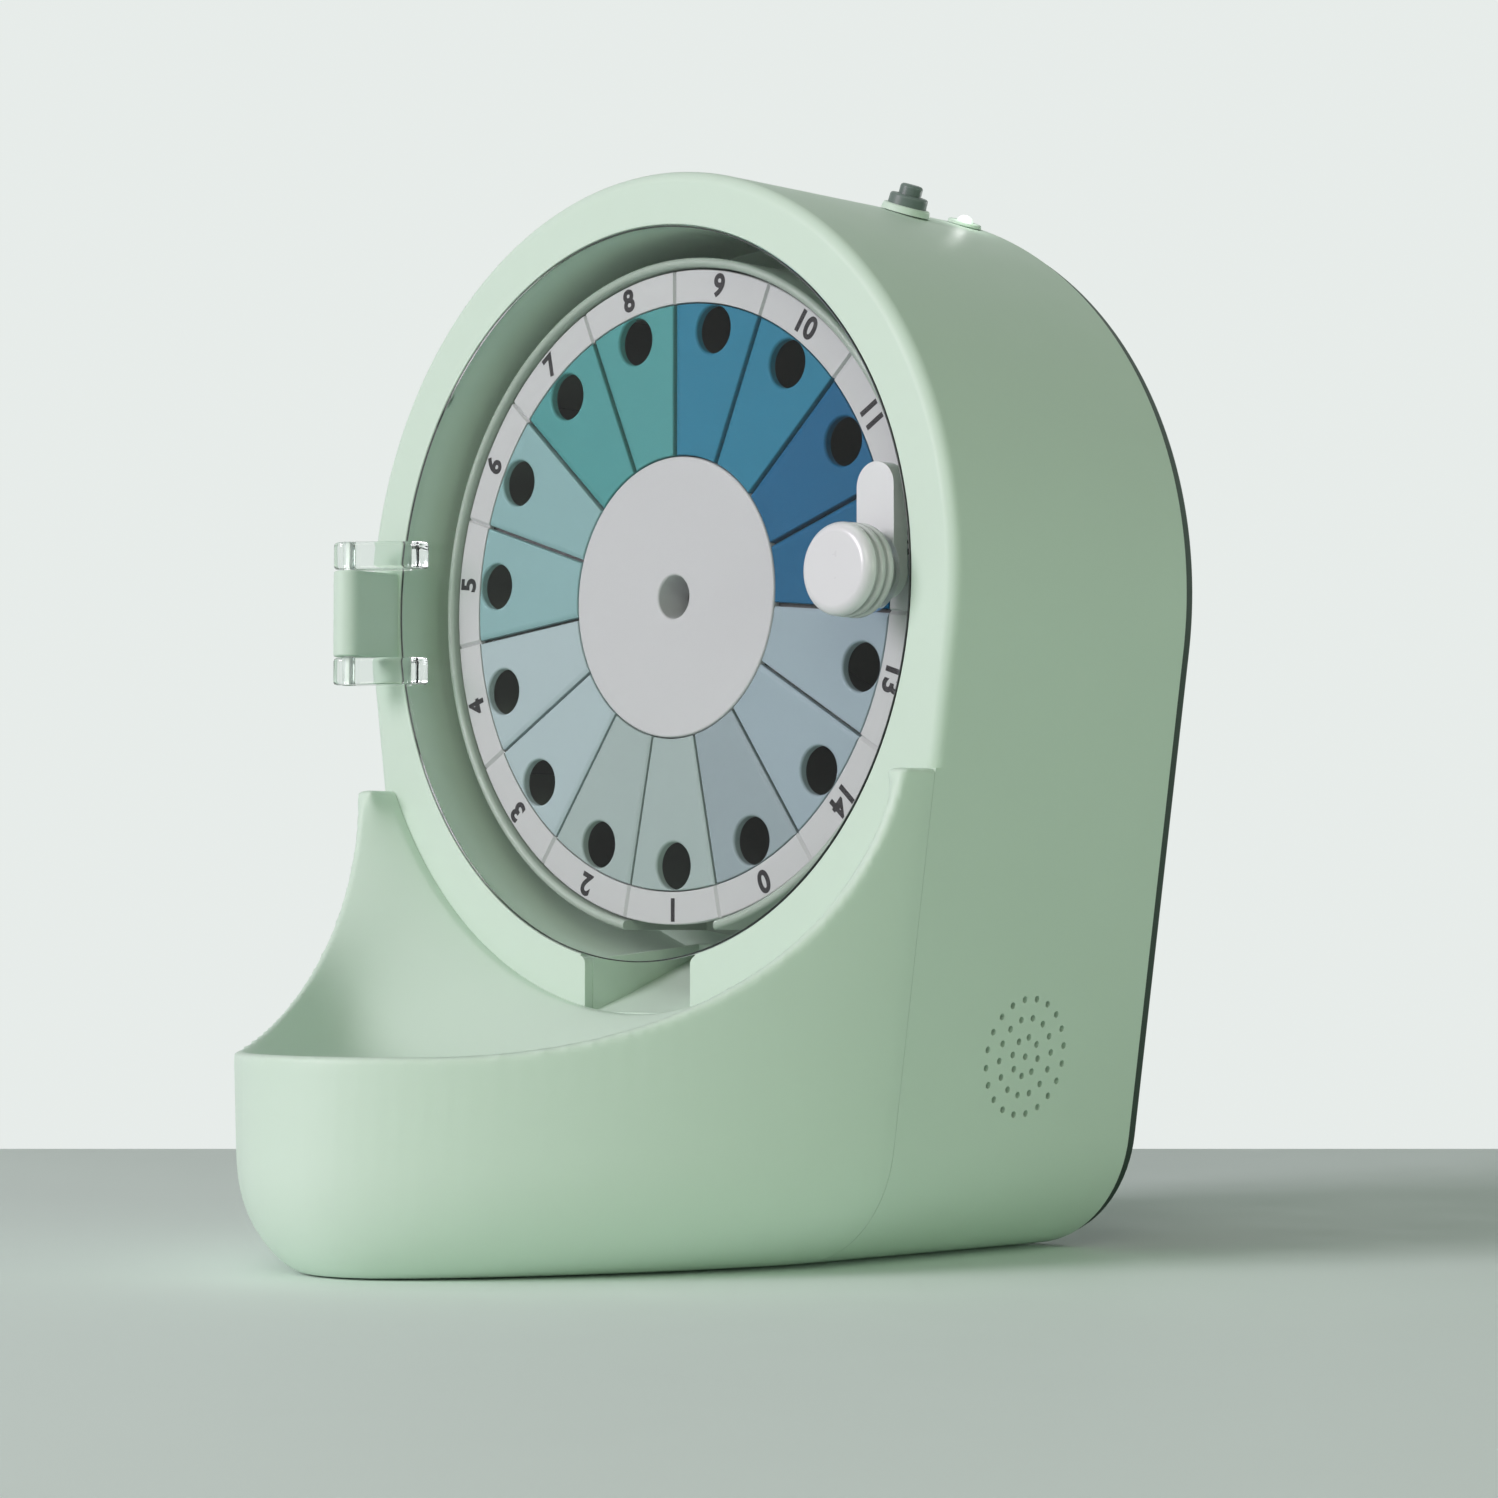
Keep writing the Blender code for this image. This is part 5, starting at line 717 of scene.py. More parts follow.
def half_width(height):
    """Half the body's width at a height below the round top."""
    tangent = CORNER_RADIUS - CORNER_RADIUS * sin(SIDE_TAPER)
    if height < tangent:
        rise = CORNER_RADIUS - height
        return CORNER_X + sqrt(CORNER_RADIUS ** 2 - rise ** 2)
    return (SIDE_OFFSET + height * sin(SIDE_TAPER)) / cos(SIDE_TAPER)


def body_outline(inset, steps=ROUND, corner_steps=20):
    """The body seen from the front: round top, sides drawn in, round lower corners."""
    corner = CORNER_RADIUS - inset
    right, left = -SIDE_TAPER, pi + SIDE_TAPER
    points = arc((CORNER_X, CORNER_RADIUS), corner, -pi / 2, right, corner_steps)
    points += arc((0, DIAL_HEIGHT), BODY_RADIUS - inset, right, left, steps)
    points += arc((-CORNER_X, CORNER_RADIUS), corner, left, 3 * pi / 2, corner_steps)
    return points


def boss_places():
    """Where the rear cover's four screws sit, in the front view."""
    reach = BODY_RADIUS - BOSS_INSET
    upper = (reach * cos(BOSS_ANGLE), DIAL_HEIGHT + reach * sin(BOSS_ANGLE))
    lower = (half_width(LOWER_BOSS_HEIGHT) - BOSS_INSET / cos(SIDE_TAPER), LOWER_BOSS_HEIGHT)
    return [(side * x, z) for x, z in (upper, lower) for side in (1, -1)]


def slot_outline():
    """The chute's slot, its sides swept round into the dial opening."""
    centre_x = SLOT_HALF + SLOT_FILLET
    reach = OPENING_RADIUS + SLOT_FILLET
    centre_z = DIAL_HEIGHT - sqrt(reach ** 2 - centre_x ** 2)
    end = atan2(DIAL_HEIGHT - centre_z, -centre_x)
    right = [(SLOT_HALF, SLOT_LOW)]
    right += arc((centre_x, centre_z), SLOT_FILLET, pi, end, 8)
    right.append((right[-1][0], right[-1][1] + SLOT_OVERLAP))
    return right + [(-x, z) for x, z in reversed(right)]


def roof_place(depth):
    """A point on the roof at the button's angle, and the turn that stands a piece up there."""
    x = BODY_RADIUS * sin(ROOF_ANGLE)
    z = DIAL_HEIGHT + BODY_RADIUS * cos(ROOF_ANGLE)
    return Vector((x, FRONT + depth, FOOT + z)), (0, ROOF_ANGLE, 0)


# Housing

def hole_cutter(radius, edge, front, back, steps):
    """A round hole from one depth to another, its front edge rounded."""
    profile = [(0, front - OVERRUN), (radius + edge, front - OVERRUN)]
    for angle in quarter(6):
        profile.append((radius + edge - edge * sin(angle),
                        front + edge - edge * cos(angle)))
    return lathe(profile + [(radius, back), (0, back)], steps)


def foot_recesses(obj, place):
    """Sink the recesses of one pair of feet into a piece's underside."""
    x, y = place
    for side in (-1, 1):
        recess = bar(FOOT_HOLE_RADIUS, -OVERRUN, FOOT_RECESS, centre=(side * x, y))
        carve(obj, at(recess, BASE))


def grille_cutter():
    """The sound holes: rings of small holes square to the side wall."""
    holes = []
    for ring, count in enumerate(GRILLE_RING_COUNTS):
        for index in range(count):
            angle = 2 * pi * (index + GRILLE_TURN * ring) / count
            reach = ring * GRILLE_PITCH
            centre = (reach * cos(angle), reach * sin(angle))
            holes.append(bar(GRILLE_HOLE_RADIUS, -OVERRUN, OVERRUN, TINY, centre))
    place = Vector((half_width(SPEAKER_HEIGHT), FRONT + SPEAKER_DEPTH, FOOT + SPEAKER_HEIGHT))
    return at(together(holes), place, (0, SIDE_TAPER - pi / 2, 0))


def knuckle():
    """The hinge's fixed knuckle, its upright edges softened."""
    left = HINGE_X - HINGE_RADIUS
    right = HINGE_X + HINGE_RADIUS
    outline = arc((HINGE_X, HINGE_DEPTH), HINGE_RADIUS, pi, 2 * pi, PIN_ROUND)
    outline += [(right, FRONT_WALL / 2), (left, FRONT_WALL / 2)]
    block = prism([outline], -KNUCKLE_HEIGHT / 2, KNUCKLE_HEIGHT / 2)
    bevel(block, KNUCKLE_EDGE, segments=3)
    return at(block, DIAL)


def housing():
    """The casing and its dial drum: shell, knuckle, hollow, well, and the holes through them."""
    shell = front_prism(body_outline(0), 0, BODY_DEPTH)
    bevel(shell, FRONT_FILLET, 7,
          lambda one, other: float(abs(one.z) <= NEAR and abs(other.z) <= NEAR))
    # below the wings' tips the front edge stays square, where the tray stands against it
    step_back = FRONT_FILLET * 2
    step = front_prism(body_outline(0), 0, step_back)
    wide = BODY_RADIUS + OVERRUN
    above = rectangle((-wide, WING_HEIGHT), (wide, DIAL_HEIGHT + wide))
    carve(step, front_prism(above, -OVERRUN, step_back + OVERRUN))
    carve(shell, step, "UNION")
    carve(shell, knuckle(), "UNION")
    hollow = body_outline(WALL, steps=ROUND // 2, corner_steps=10)
    cavity = front_prism(hollow, FRONT_WALL, BODY_DEPTH + OVERRUN)
    drum = bar(OPENING_RADIUS + DRUM_WALL, -DRUM_BACK, OVERRUN, ROUND)
    carve(cavity, upright(drum))
    below = SLOT_LOW - CHUTE_WALL - FIT
    top = DIAL_HEIGHT - OPENING_RADIUS
    tunnel = rectangle((-SLOT_HALF - DRUM_WALL, below - DRUM_WALL),
                       (SLOT_HALF + DRUM_WALL, top))
    carve(cavity, front_prism(tunnel, FRONT_WALL - OVERRUN, SLOT_BACK + DRUM_WALL))
    carve(shell, cavity)
    bed = rectangle((-SLOT_HALF, below), (SLOT_HALF, top))
    carve(shell, front_prism(bed, FRONT_WALL, SLOT_BACK + FIT))
    mouth = hole_cutter(MOUTH_RADIUS, MOUTH_FILLET, 0, MOUTH_DEPTH + FIT, ROUND)
    carve(shell, upright(mouth))
    well = [(0, MOUTH_DEPTH), (OPENING_RADIUS, MOUTH_DEPTH), (OPENING_RADIUS, DRUM_DEPTH),
            (0, DRUM_DEPTH)]
    carve(shell, upright(lathe(well, ROUND)))
    carve(shell, front_prism(slot_outline(), -OVERRUN, SLOT_BACK))
    window = rectangle((LATCH_X, DIAL_HEIGHT),
                       (OPENING_RADIUS + DRUM_WALL + WINDOW_SPARE, DIAL_HEIGHT + WINDOW_HEIGHT))
    carve(shell, front_prism(window, FRONT_WALL, WINDOW_BACK))
    bush_hole = bar(BUSH_HOLE_RADIUS, -DRUM_BACK - OVERRUN, -DRUM_DEPTH + OVERRUN)
    carve(shell, upright(bush_hole))
    carve(shell, grille_cutter())
    for depth, radius in ((BUTTON_DEPTH, BUTTON_HOLE_RADIUS), (LIGHT_DEPTH, LIGHT_HOLE_RADIUS)):
        carve(shell, at(bar(radius, -2 * WALL, OVERRUN), *roof_place(depth)))
    foot_recesses(shell, REAR_FOOT)
    pin_hole = bar(PIN_RADIUS, -PIN_HOLE_REACH, PIN_HOLE_REACH, PIN_ROUND, (HINGE_X, HINGE_DEPTH))
    carve(shell, at(pin_hole, DIAL))
    dress(shell, "housing_casing", MINT, "housing", "housing_shell", "dial_drum",
          slot="housing_mint")


def chute():
    """The trough under the dial: a sloping bed between sides that widen towards the front."""
    low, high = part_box("pill_chute")
    front, back = low.y - FRONT, high.y - FRONT
    foot, crest = low.z - FOOT, high.z - FOOT
    shoulder = crest - CHUTE_BACK_RISE
    outer = [(front, foot), (back, shoulder), (back, crest), (front, shoulder)]
    wide = SLOT_HALF - SKIN
    trough = at(prism([outer], -wide, wide), BASE, SIDE_VIEW)
    inner, mouth = wide - CHUTE_WALL, wide - CHUTE_LIP
    before, end = front - OVERRUN, back - CHUTE_WALL
    plan = [(-mouth, before), (mouth, before), (mouth, front), (inner, front + CHUTE_FLARE),
            (inner, end), (-inner, end), (-inner, front + CHUTE_FLARE), (-mouth, front)]
    hollow = prism([plan], 0, crest + OVERRUN)
    level, beyond = crest - CHUTE_BED_DROP, back + OVERRUN
    bed = [(before, SLOT_LOW), (front, SLOT_LOW), (end, level), (beyond, level),
           (beyond, crest + OVERRUN), (before, crest + OVERRUN)]
    carve(at(hollow, BASE), at(prism([bed], -wide, wide), BASE, SIDE_VIEW), "INTERSECT")
    carve(trough, hollow)
    dress(trough, "chute_trough", MINT, "housing", "pill_chute", slot="housing_mint")


# Tray

def blunted(across):
    """A share of the tray's half-width, eased near the middle, where the nose is blunt."""
    blunt = sqrt(1 + BLUNTNESS ** 2) - BLUNTNESS
    return (sqrt(across ** 2 + BLUNTNESS ** 2) - BLUNTNESS) / blunt


def tray_ahead(across):
    """The tray's reach, as a share of its length, at a share of its half-width off the middle."""
    return max(1 - blunted(across) ** TRAY_POWER, 0) ** (1 / TRAY_POWER)


def tray_ring(height, inset, back, level=None):
    """The tray's outline at a height, drawn in by an inset and laid at a level of its own."""
    level = height if level is None else level
    width = half_width(height) - inset
    drop = max(BELLY_RADIUS - TRAY_FOOT_CUT - height, 0)
    belly = sqrt(BELLY_RADIUS ** 2 - drop ** 2)
    length = TRAY_REACH - inset - BELLY_RADIUS + belly - TRAY_START
    points = [(width, back, level)]
    for index in range(RING_ROUND + 1):
        across = cos(pi * index / RING_ROUND)
        points.append((width * across, -TRAY_START - length * tray_ahead(abs(across)), level))
    points.append((-width, back, level))
    return points


def tray_depth(point):
    """Roughly how far a point of the tray lies inside its outer surface."""
    share = blunted(abs(point.x) / half_width(max(point.z, CORNER_RADIUS)))
    ahead = max(-point.y - TRAY_START, 0) / (TRAY_REACH - TRAY_START)
    return (1 - (share ** TRAY_POWER + ahead ** TRAY_POWER) ** (1 / TRAY_POWER)) * TRAY_REACH


def scoop_cutter():
    """What the rim's sweep from the wings down to the front takes off, seen from the side."""
    centre = (-WING_DEPTH - SCOOP_LENGTH, TRAY_RIM_HEIGHT + SCOOP_HEIGHT)
    outline = [(centre[0] + SCOOP_LENGTH * cos(angle),
                centre[1] - SCOOP_HEIGHT * sin(angle)) for angle in quarter(40)]
    front = -TRAY_REACH - OVERRUN
    outline += [(front, TRAY_RIM_HEIGHT), (front, centre[1])]
    wide = half_width(WING_HEIGHT) + OVERRUN
    return at(prism([outline], -wide, wide), BASE, SIDE_VIEW)


def flare_cutter(back):
    """The cone that opens the tray's back edge from the dial's opening towards the front."""
    front = -TRAY_REACH - OVERRUN
    profile = [(0, back), (FLARE_RADIUS, back), (FLARE_RADIUS, -PLATE_EDGE),
               (FLARE_RADIUS - (front + PLATE_EDGE) * tan(FLARE_ANGLE), front), (0, front)]
    return upright(lathe(profile, ROUND))


def soften(obj, iterations):
    """Add smoothing to an object and hand the modifier back."""
    smooth = obj.modifiers.new("soften", "SMOOTH")
    smooth.factor = SOFTENING_FACTOR
    smooth.iterations = iterations
    return smooth


def tray_block():
    """The tray cut to shape, its back left long."""
    levels = [CORNER_RADIUS * (1 - cos(angle)) for angle in quarter(14)]
    levels += [*TRAY_LEVELS, WING_HEIGHT]
    body = at(loft([tray_ring(level, 0, TRAY_SPARE) for level in levels]), BASE)
    carve(body, scoop_cutter())
    back = 2 * TRAY_SPARE
    inner = [tray_ring(TRAY_FLOOR_HEIGHT, TRAY_WALL + BASIN_FILLET * (1 - sin(angle)), back,
                       TRAY_FLOOR_HEIGHT + BASIN_FILLET * (1 - cos(angle)))
             for angle in quarter(6)]
    inner += [tray_ring(level, TRAY_WALL, back) for level in (*TRAY_LEVELS, WING_HEIGHT + OVERRUN)]
    basin = at(loft(inner), BASE)
    carve(basin, flare_cutter(back), "INTERSECT")
    return carve(body, basin)


def tray():
    """The catch tray: remeshed, its bowl softened behind the rim, its back trimmed flat."""
    body = tray_block()
    remesh = body.modifiers.new("remesh", "REMESH")
    remesh.mode = "VOXEL"
    remesh.voxel_size = TRAY_VOXEL
    soften(body, TRAY_SOFTENING)
    settle(body)
    inside = body.vertex_groups.new(name="inside")
    for vertex in body.data.vertices:
        if vertex.co.z < TRAY_FLOOR_HEIGHT - TRAY_WALL:
            continue
        share = min((tray_depth(vertex.co) - RIM_HELD) / (RIM_FREE - RIM_HELD),
                    (WING_HEIGHT - vertex.co.z) / TIP_HELD,
                    (-vertex.co.y - PLATE_EDGE * EDGE_HELD) / PLATE_EDGE, 1)
        if share > 0:
            inside.add([vertex.index], share ** 2, "REPLACE")
    soften(body, BOWL_SOFTENING).vertex_group = inside.name
    settle(body)
    body.vertex_groups.clear()
    shape = bmesh.new()
    shape.from_mesh(body.data)
    everything = shape.verts[:] + shape.edges[:] + shape.faces[:]
    cut = bmesh.ops.bisect_plane(shape, geom=everything, plane_co=(0, -TRAY_BACK_GAP, 0),
                                 plane_no=(0, 1, 0), clear_outer=True)
    rim = [item for item in cut["geom_cut"] if isinstance(item, bmesh.types.BMEdge)]
    bmesh.ops.holes_fill(shape, edges=rim)
    mesh = bpy.data.meshes.new("tray")
    shape.to_mesh(mesh)
    shape.free()
    body.data = mesh
    foot_recesses(body, FRONT_FOOT)
    dress(body, "catch_tray", MINT, "housing", "pill_tray", slot="tray_mint")
    body.data.set_sharp_from_angle(angle=TRAY_SHARP)


# Rear cover

def rear_cover():
    """The back plate with its screw seats, the battery door's recess and the inlet's hole."""
    cover = front_prism(body_outline(COVER_INSET), COVER_FRONT, COVER_BACK)
    bevel(cover, COVER_EDGE, 4,
          lambda one, other: float(max(one.z, other.z) < -COVER_BACK + NEAR))
    before, beyond = COVER_FRONT - OVERRUN, COVER_BACK + OVERRUN
    for x, z in boss_places():
        seat = COVER_BACK - SCREW_HEAD_DEPTH
        hole = lathe([(0, before), (SCREW_SHANK_RADIUS, before), (SCREW_SHANK_RADIUS, seat),
                      (SCREW_HEAD_RADIUS, COVER_BACK), (SCREW_HEAD_RADIUS, beyond), (0, beyond)],
                     SMALL)
        carve(cover, upright(hole, BASE + Vector((x, 0, z))))
    low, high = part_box("battery_door")
    recess = rectangle((low.x - FIT, low.z - FIT - FOOT), (high.x + FIT, high.z + FIT - FOOT))
    carve(cover, front_prism(recess, low.y - FIT - FRONT, beyond))
    opening = rectangle((low.x + BATTERY_LEDGE, low.z + BATTERY_LEDGE - FOOT),
                        (high.x - BATTERY_LEDGE, high.z - BATTERY_LEDGE - FOOT))
    carve(cover, front_prism(opening, before, beyond))
    carve(cover, front_prism(circle(INLET_HOLE, INLET_RADIUS, SMALL), before, beyond))
    dress(cover, "back_cover", COVER_GREEN, "housing", "rear_cover", slot="cover_green")


# Carousel

def cup():
    """The fixed wall round the compartments, open to the chute at the bottom."""
    inner = CUP_RADIUS - CUP_WALL
    floor = CUP_BACK - CUP_FLOOR
    profile = [(CUP_RADIUS, CUP_FRONT), (CUP_RADIUS, CUP_BACK), (CUP_HOLE_RADIUS, CUP_BACK),
               (CUP_HOLE_RADIUS, floor), (inner, floor), (inner, CUP_FRONT)]
    wall = upright(lathe(rounded(profile, {0: CUP_FILLET, 5: CUP_FILLET}), ROUND))
    low = DIAL_HEIGHT - CUP_RADIUS - NOTCH_SPARE
    notch = rectangle((-NOTCH_HALF_WIDTH, low), (NOTCH_HALF_WIDTH, DIAL_HEIGHT - CUP_RADIUS / 2))
    carve(wall, front_prism(notch, CUP_FRONT - OVERRUN, SLOT_BACK))
    # its darker mint is painted shade, not a plastic of its own
    dress(wall, "cup_wall", CUP_MINT_PAINTED_SHADE, "housing", "carousel_cup", slot="tray_mint")


def lids():
    """The lids: wedge plates with a filling hole and a wide soft edge towards the lid before."""
    inner = HUB_RADIUS + FIT
    outer = BAND_INNER - FIT
    outline = []
    for radius, count in ((outer, 16), (inner, 8)):
        end = pi / 2 - SECTOR / 2 + asin(LID_GAP / 2 / radius)
        start = pi / 2 + SECTOR / 2 - asin(START_GAP / radius)
        one, other = (end, start) if radius == outer else (start, end)
        outline += arc((0, 0), radius, one, other, count)
    plate = prism([outline], -LID_BACK, -FACE_DEPTH)
    turned = SECTOR / 2 - asin(START_GAP / inner) - LID_SIDE_MARGIN

    def weight(one, other):
        """Full on the edge towards the lid before, a share of it on the other three."""
        if min(one.z, other.z) < -FACE_DEPTH - NEAR:
            return 0
        before = max(atan2(one.x, one.y), atan2(other.x, other.y)) < -turned
        return 1 if before else LID_EDGE_SHARE

    bevel(plate, GROOVE, 5, weight)
    hole = hole_cutter(LID_HOLE_RADIUS, LID_HOLE_EDGE, FACE_DEPTH, LID_BACK + OVERRUN,
                       LID_HOLE_ROUND)
    carve(plate, at(hole, (0, LID_HOLE_CENTRE, 0)))
    for number in range(COMPARTMENTS):
        pair = (number + 1) // 2
        label = f"{number:02d}" if number else "home"
        slot = f"lid_pair_{pair}" if number else "lid_home"
        copy = at(linked("lid", plate.data.copy()), DIAL,
                  (pi / 2, HOME_ANGLE + number * SECTOR, 0))
        dress(copy, f"lid_plate_{label}", LID_LOOKS[pair], "carousel", f"lid_{label}", slot=slot)
    bpy.data.objects.remove(plate, do_unlink=True)


def label_band():
    """The white ring outside the lids, grooved between the compartments."""
    profile = [(BAND_INNER, FACE_DEPTH), (BAND_OUTER, FACE_DEPTH),
               (BAND_OUTER, LID_BACK), (BAND_INNER, LID_BACK)]
    band = upright(lathe(rounded(profile, BAND_FILLETS, 3), ROUND - ROUND % COMPARTMENTS))
    clear = FACE_DEPTH - GROOVE_DEPTH / 2
    wedge = [(-GROOVE / 4, clear), (GROOVE / 8, FACE_DEPTH + GROOVE_DEPTH), (GROOVE, clear)]
    grooves = []
    for number in range(COMPARTMENTS):
        groove = prism([wedge], BAND_INNER - BAND_SPARE, BAND_OUTER + BAND_SPARE)
        grooves.append(at(groove, (0, 0, 0), (0, HOME_ANGLE + (number + 0.5) * SECTOR, 0)))
    carve(band, at(together(grooves), DIAL))
    dress(band, "number_band", BAND_WHITE, "carousel", "label_ring", slot="label_white")


def digits():
    """Plain numbers printed on the band, their tops pointing outward."""
    for number in range(COMPARTMENTS):
        curve = bpy.data.curves.new("digits", "FONT")
        curve.body = str(number)
        curve.size = DIGIT_HEIGHT / FIGURE_SHARE
        curve.align_x = "CENTER"
        curve.align_y = "CENTER"
        curve.extrude = INK / 2
        curve.offset = DIGIT_WEIGHT
        curve.resolution_u = 5
        mesh = taken(linked("digits", curve))
        for vertex in mesh.vertices:
            vertex.co += Vector((0, DIGIT_RADIUS, -FACE_DEPTH + INK / 2))
        printed = at(linked("digits", mesh), DIAL, (pi / 2, HOME_ANGLE + number * SECTOR, 0))
        dress(printed, f"number_{number:02d}", INK_BLACK, "carousel")


def hub():
    """The centre disc, with a short tube behind its hole."""
    hole = HUB_HOLE_RADIUS
    tube = hole + HUB_TUBE_WALL
    tube_end = LID_BACK + HUB_TUBE_LENGTH
    profile = [(HUB_RADIUS, FACE_DEPTH), (HUB_RADIUS, LID_BACK), (tube, LID_BACK),
               (tube, tube_end), (hole, tube_end), (hole, FACE_DEPTH)]
    disc = upright(lathe(rounded(profile, {0: HUB_FILLET, 5: HUB_FILLET}), ROUND))
    dress(disc, "hub_disc", HUB_WHITE, "carousel", "hub_cap", slot="white_plastic")


# Door and latch

def lug_outline():
    """A lug from above: a round eye on the pin, drawn out to a square foot on the pane."""
    eye = (HINGE_X, HINGE_DEPTH)
    back = PANE_FRONT - SKIN
    inner_front = (LUG_FOOT_INNER, LUG_FOOT_FRONT)
    outer_back = (LUG_FOOT_OUTER, back)

    def tangent(point, side):
        across, along = point[0] - eye[0], point[1] - eye[1]
        spread = acos(HINGE_RADIUS / hypot(across, along))
        return atan2(along, across) + side * spread

    start = tangent(outer_back, 1)
    end = tangent(inner_front, -1) + 2 * pi
    outline = arc(eye, HINGE_RADIUS, start, end, LUG_ARC)
    return outline + [inner_front, (LUG_FOOT_INNER, back), outer_back]


def door():
    """The clear door: pane, the latch's seat, a dark ring at its rim that is painted shade for the
    gap round it, and two thick lugs on the pin.
    """
    outer = DOOR_RADIUS - EDGE_WIDTH
    step = PANE_FRONT + EDGE_DEPTH
    profile = [(0, PANE_FRONT), (outer, PANE_FRONT), (outer, step), (DOOR_RADIUS, step),
               (DOOR_RADIUS, PANE_BACK), (0, PANE_BACK)]
    pane = upright(lathe(rounded(profile, {4: PANE_FILLET}, 4), FINE_ROUND))
    # a thin dark ring at the pane's rim: painted shade for the gap between door and opening
    edge = [(outer + SKIN, PANE_FRONT), (DOOR_RADIUS, PANE_FRONT), (DOOR_RADIUS, step - SKIN),
            (outer + SKIN, step - SKIN)]
    line = upright(lathe(rounded(edge, {1: EDGE_FILLET}, 3), FINE_ROUND))
    dress(line, "door_edge_line", PAINTED_GAP_SHADE, "door", slot="clear_plastic")
    low = KNUCKLE_HEIGHT / 2 + LUG_GAP
    length = low + LUG_HEIGHT + PIN_HOLE_SPARE
    for name, bottom in (("door_lug_lower", -low - LUG_HEIGHT), ("door_lug_upper", low)):
        lug = prism([lug_outline()], bottom, bottom + LUG_HEIGHT)
        bevel(lug, LUG_EDGE, segments=5)
        pin_hole = bar(PIN_RADIUS, -length, length, EYE_ROUND, (HINGE_X, HINGE_DEPTH))
        carve(at(lug, DIAL), at(pin_hole, DIAL))
        dress(lug, name, CLEAR_THICK, "door", slot="clear_plastic")
    seat = [(0, LATCH_SEAT_FRONT), (LATCH_SEAT_RADIUS, LATCH_SEAT_FRONT),
            (LATCH_SEAT_RADIUS, PANE_BACK / 2), (0, PANE_BACK / 2)]
    boss = lathe(rounded(seat, {1: PANE_FILLET}), RING_ROUND)
    carve(pane, upright(boss, LATCH_SPOT), "UNION")
    carve(pane, upright(bar(LATCH_HOLE_RADIUS, *LATCH_HOLE_ENDS), LATCH_SPOT))
    dress(pane, "clear_door", CLEAR, "door", "door_panel", slot="clear_plastic")


def latch():
    """The knob with its two ribs, its domed cap and the cam behind the door."""
    low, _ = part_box("latch_knob")
    shift = low.y - FRONT + KNOB_LENGTH
    grip = [(radius, depth + (shift if depth < 0 else 0))
            for radius, depth in rounded(KNOB_PROFILE, KNOB_FILLETS, 4)]
    # the grip's darker grey is painted shade and reflection
    dress(upright(lathe(grip, KNOB_ROUND), LATCH_SPOT), "latch_grip", SATIN_AND_PAINTED_SHADE, "latch",
          "latch_knob", slot="white_plastic")
    low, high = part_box("latch_knob_cap")
    front, stem_end = low.y - FRONT, high.y - FRONT
    back = front + CROWN_THICKNESS
    cap = [(0, front), (CROWN_RADIUS, front), (CROWN_RADIUS, back), (STEM_RADIUS, back),
           (STEM_RADIUS, stem_end), (0, stem_end)]
    crown = lathe(rounded(cap, CROWN_FILLETS, 8), CROWN_ROUND)
    dress(upright(crown, LATCH_SPOT), "latch_crown", WHITE, "latch", "latch_knob_cap",
          slot="white_plastic")
    low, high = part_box("latch_cam")
    radius = (high.x - low.x) / 2
    reach = high.z - DIAL.z - radius
    outline = arc((0, reach), radius, 0, pi, CAM_ARC)
    outline += arc((0, 0), radius, pi, 2 * pi, CAM_ARC)
    cam = prism([outline, circle((0, 0), LATCH_HOLE_RADIUS, EYE_ROUND)],
                FRONT - high.y, FRONT - low.y)

    def weight(one, other):
        """Full on the outer front edge, a share of it on the outer back edge."""
        inside = hypot(one.x, one.y) < CAM_HOLE_MARGIN
        if inside or abs(one.z - other.z) > NEAR:
            return 0
        return 1 if one.z > FRONT - low.y - NEAR else TAB_BACK_SHARE

    bevel(cam, TAB_EDGE, 6, weight)
    dress(upright(cam, LATCH_SPOT), "latch_tab", WHITE, "latch", "latch_cam",
          slot="white_plastic")


# Button and light on the roof

ROOF_PIECES = (  # name, look, body, node, slot, depth, steps, profile over the roof, fillets
    ("button_ring", MINT, "housing", "button_collar", "housing_mint", BUTTON_DEPTH, RING_ROUND,
     ((0.0049, 0.0002), (0.0061, 0.0002), (0.0057, 0.0019), (0.0049, 0.0019)), {2: 0.0006}),
    ("button_barrel", GREY, "housing", "button_body", "grey_plastic", BUTTON_DEPTH, RING_ROUND,
     ((0.0015, -0.0090), (0.0042, -0.0090), (0.0042, 0.0015), (0.0048, 0.0015), (0.0047, 0.0045),
      (0.0031, 0.0045), (0.0031, 0.0038), (0.0035, 0.0038), (0.0035, -0.0075), (0.0015, -0.0075)),
     {3: 0.0003, 4: 0.0007, 5: 0.0002}),
    ("button_tip", GREY, "button", "button_plunger", "grey_plastic", BUTTON_DEPTH, SMALL,
     ((0, 0.0071), (0.0028, 0.0071), (0.0028, 0.0036), (0.0032, 0.0036), (0.0032, 0.0026),
      (0.0026, 0.0026), (0.0026, 0.0050), (0.0012, 0.0050), (0.0012, -0.0105), (0, -0.0105)),
     {1: 0.0008}),
    ("light_ring", MINT, "housing", "light_bezel", "housing_mint", LIGHT_DEPTH, RING_ROUND,
     ((0.0022, -0.0026), (0.0038, -0.0026), (0.0038, 0.0002), (0.0043, 0.0002), (0.0041, 0.0011),
      (0.0022, 0.0011)), {4: 0.0005, 5: 0.0002}),
    ("light_lens", LAMP, "housing", "light_pipe", "clear_plastic", LIGHT_DEPTH, SMALL,
     ((0, LENS_FOOT), (LENS_RADIUS, LENS_FOOT),
      *((LENS_RADIUS * cos(angle), LENS_SILL + LENS_RISE * sin(angle))
        for angle in quarter(10)[:-1]), (0, LENS_SILL + LENS_RISE)), {}),
)


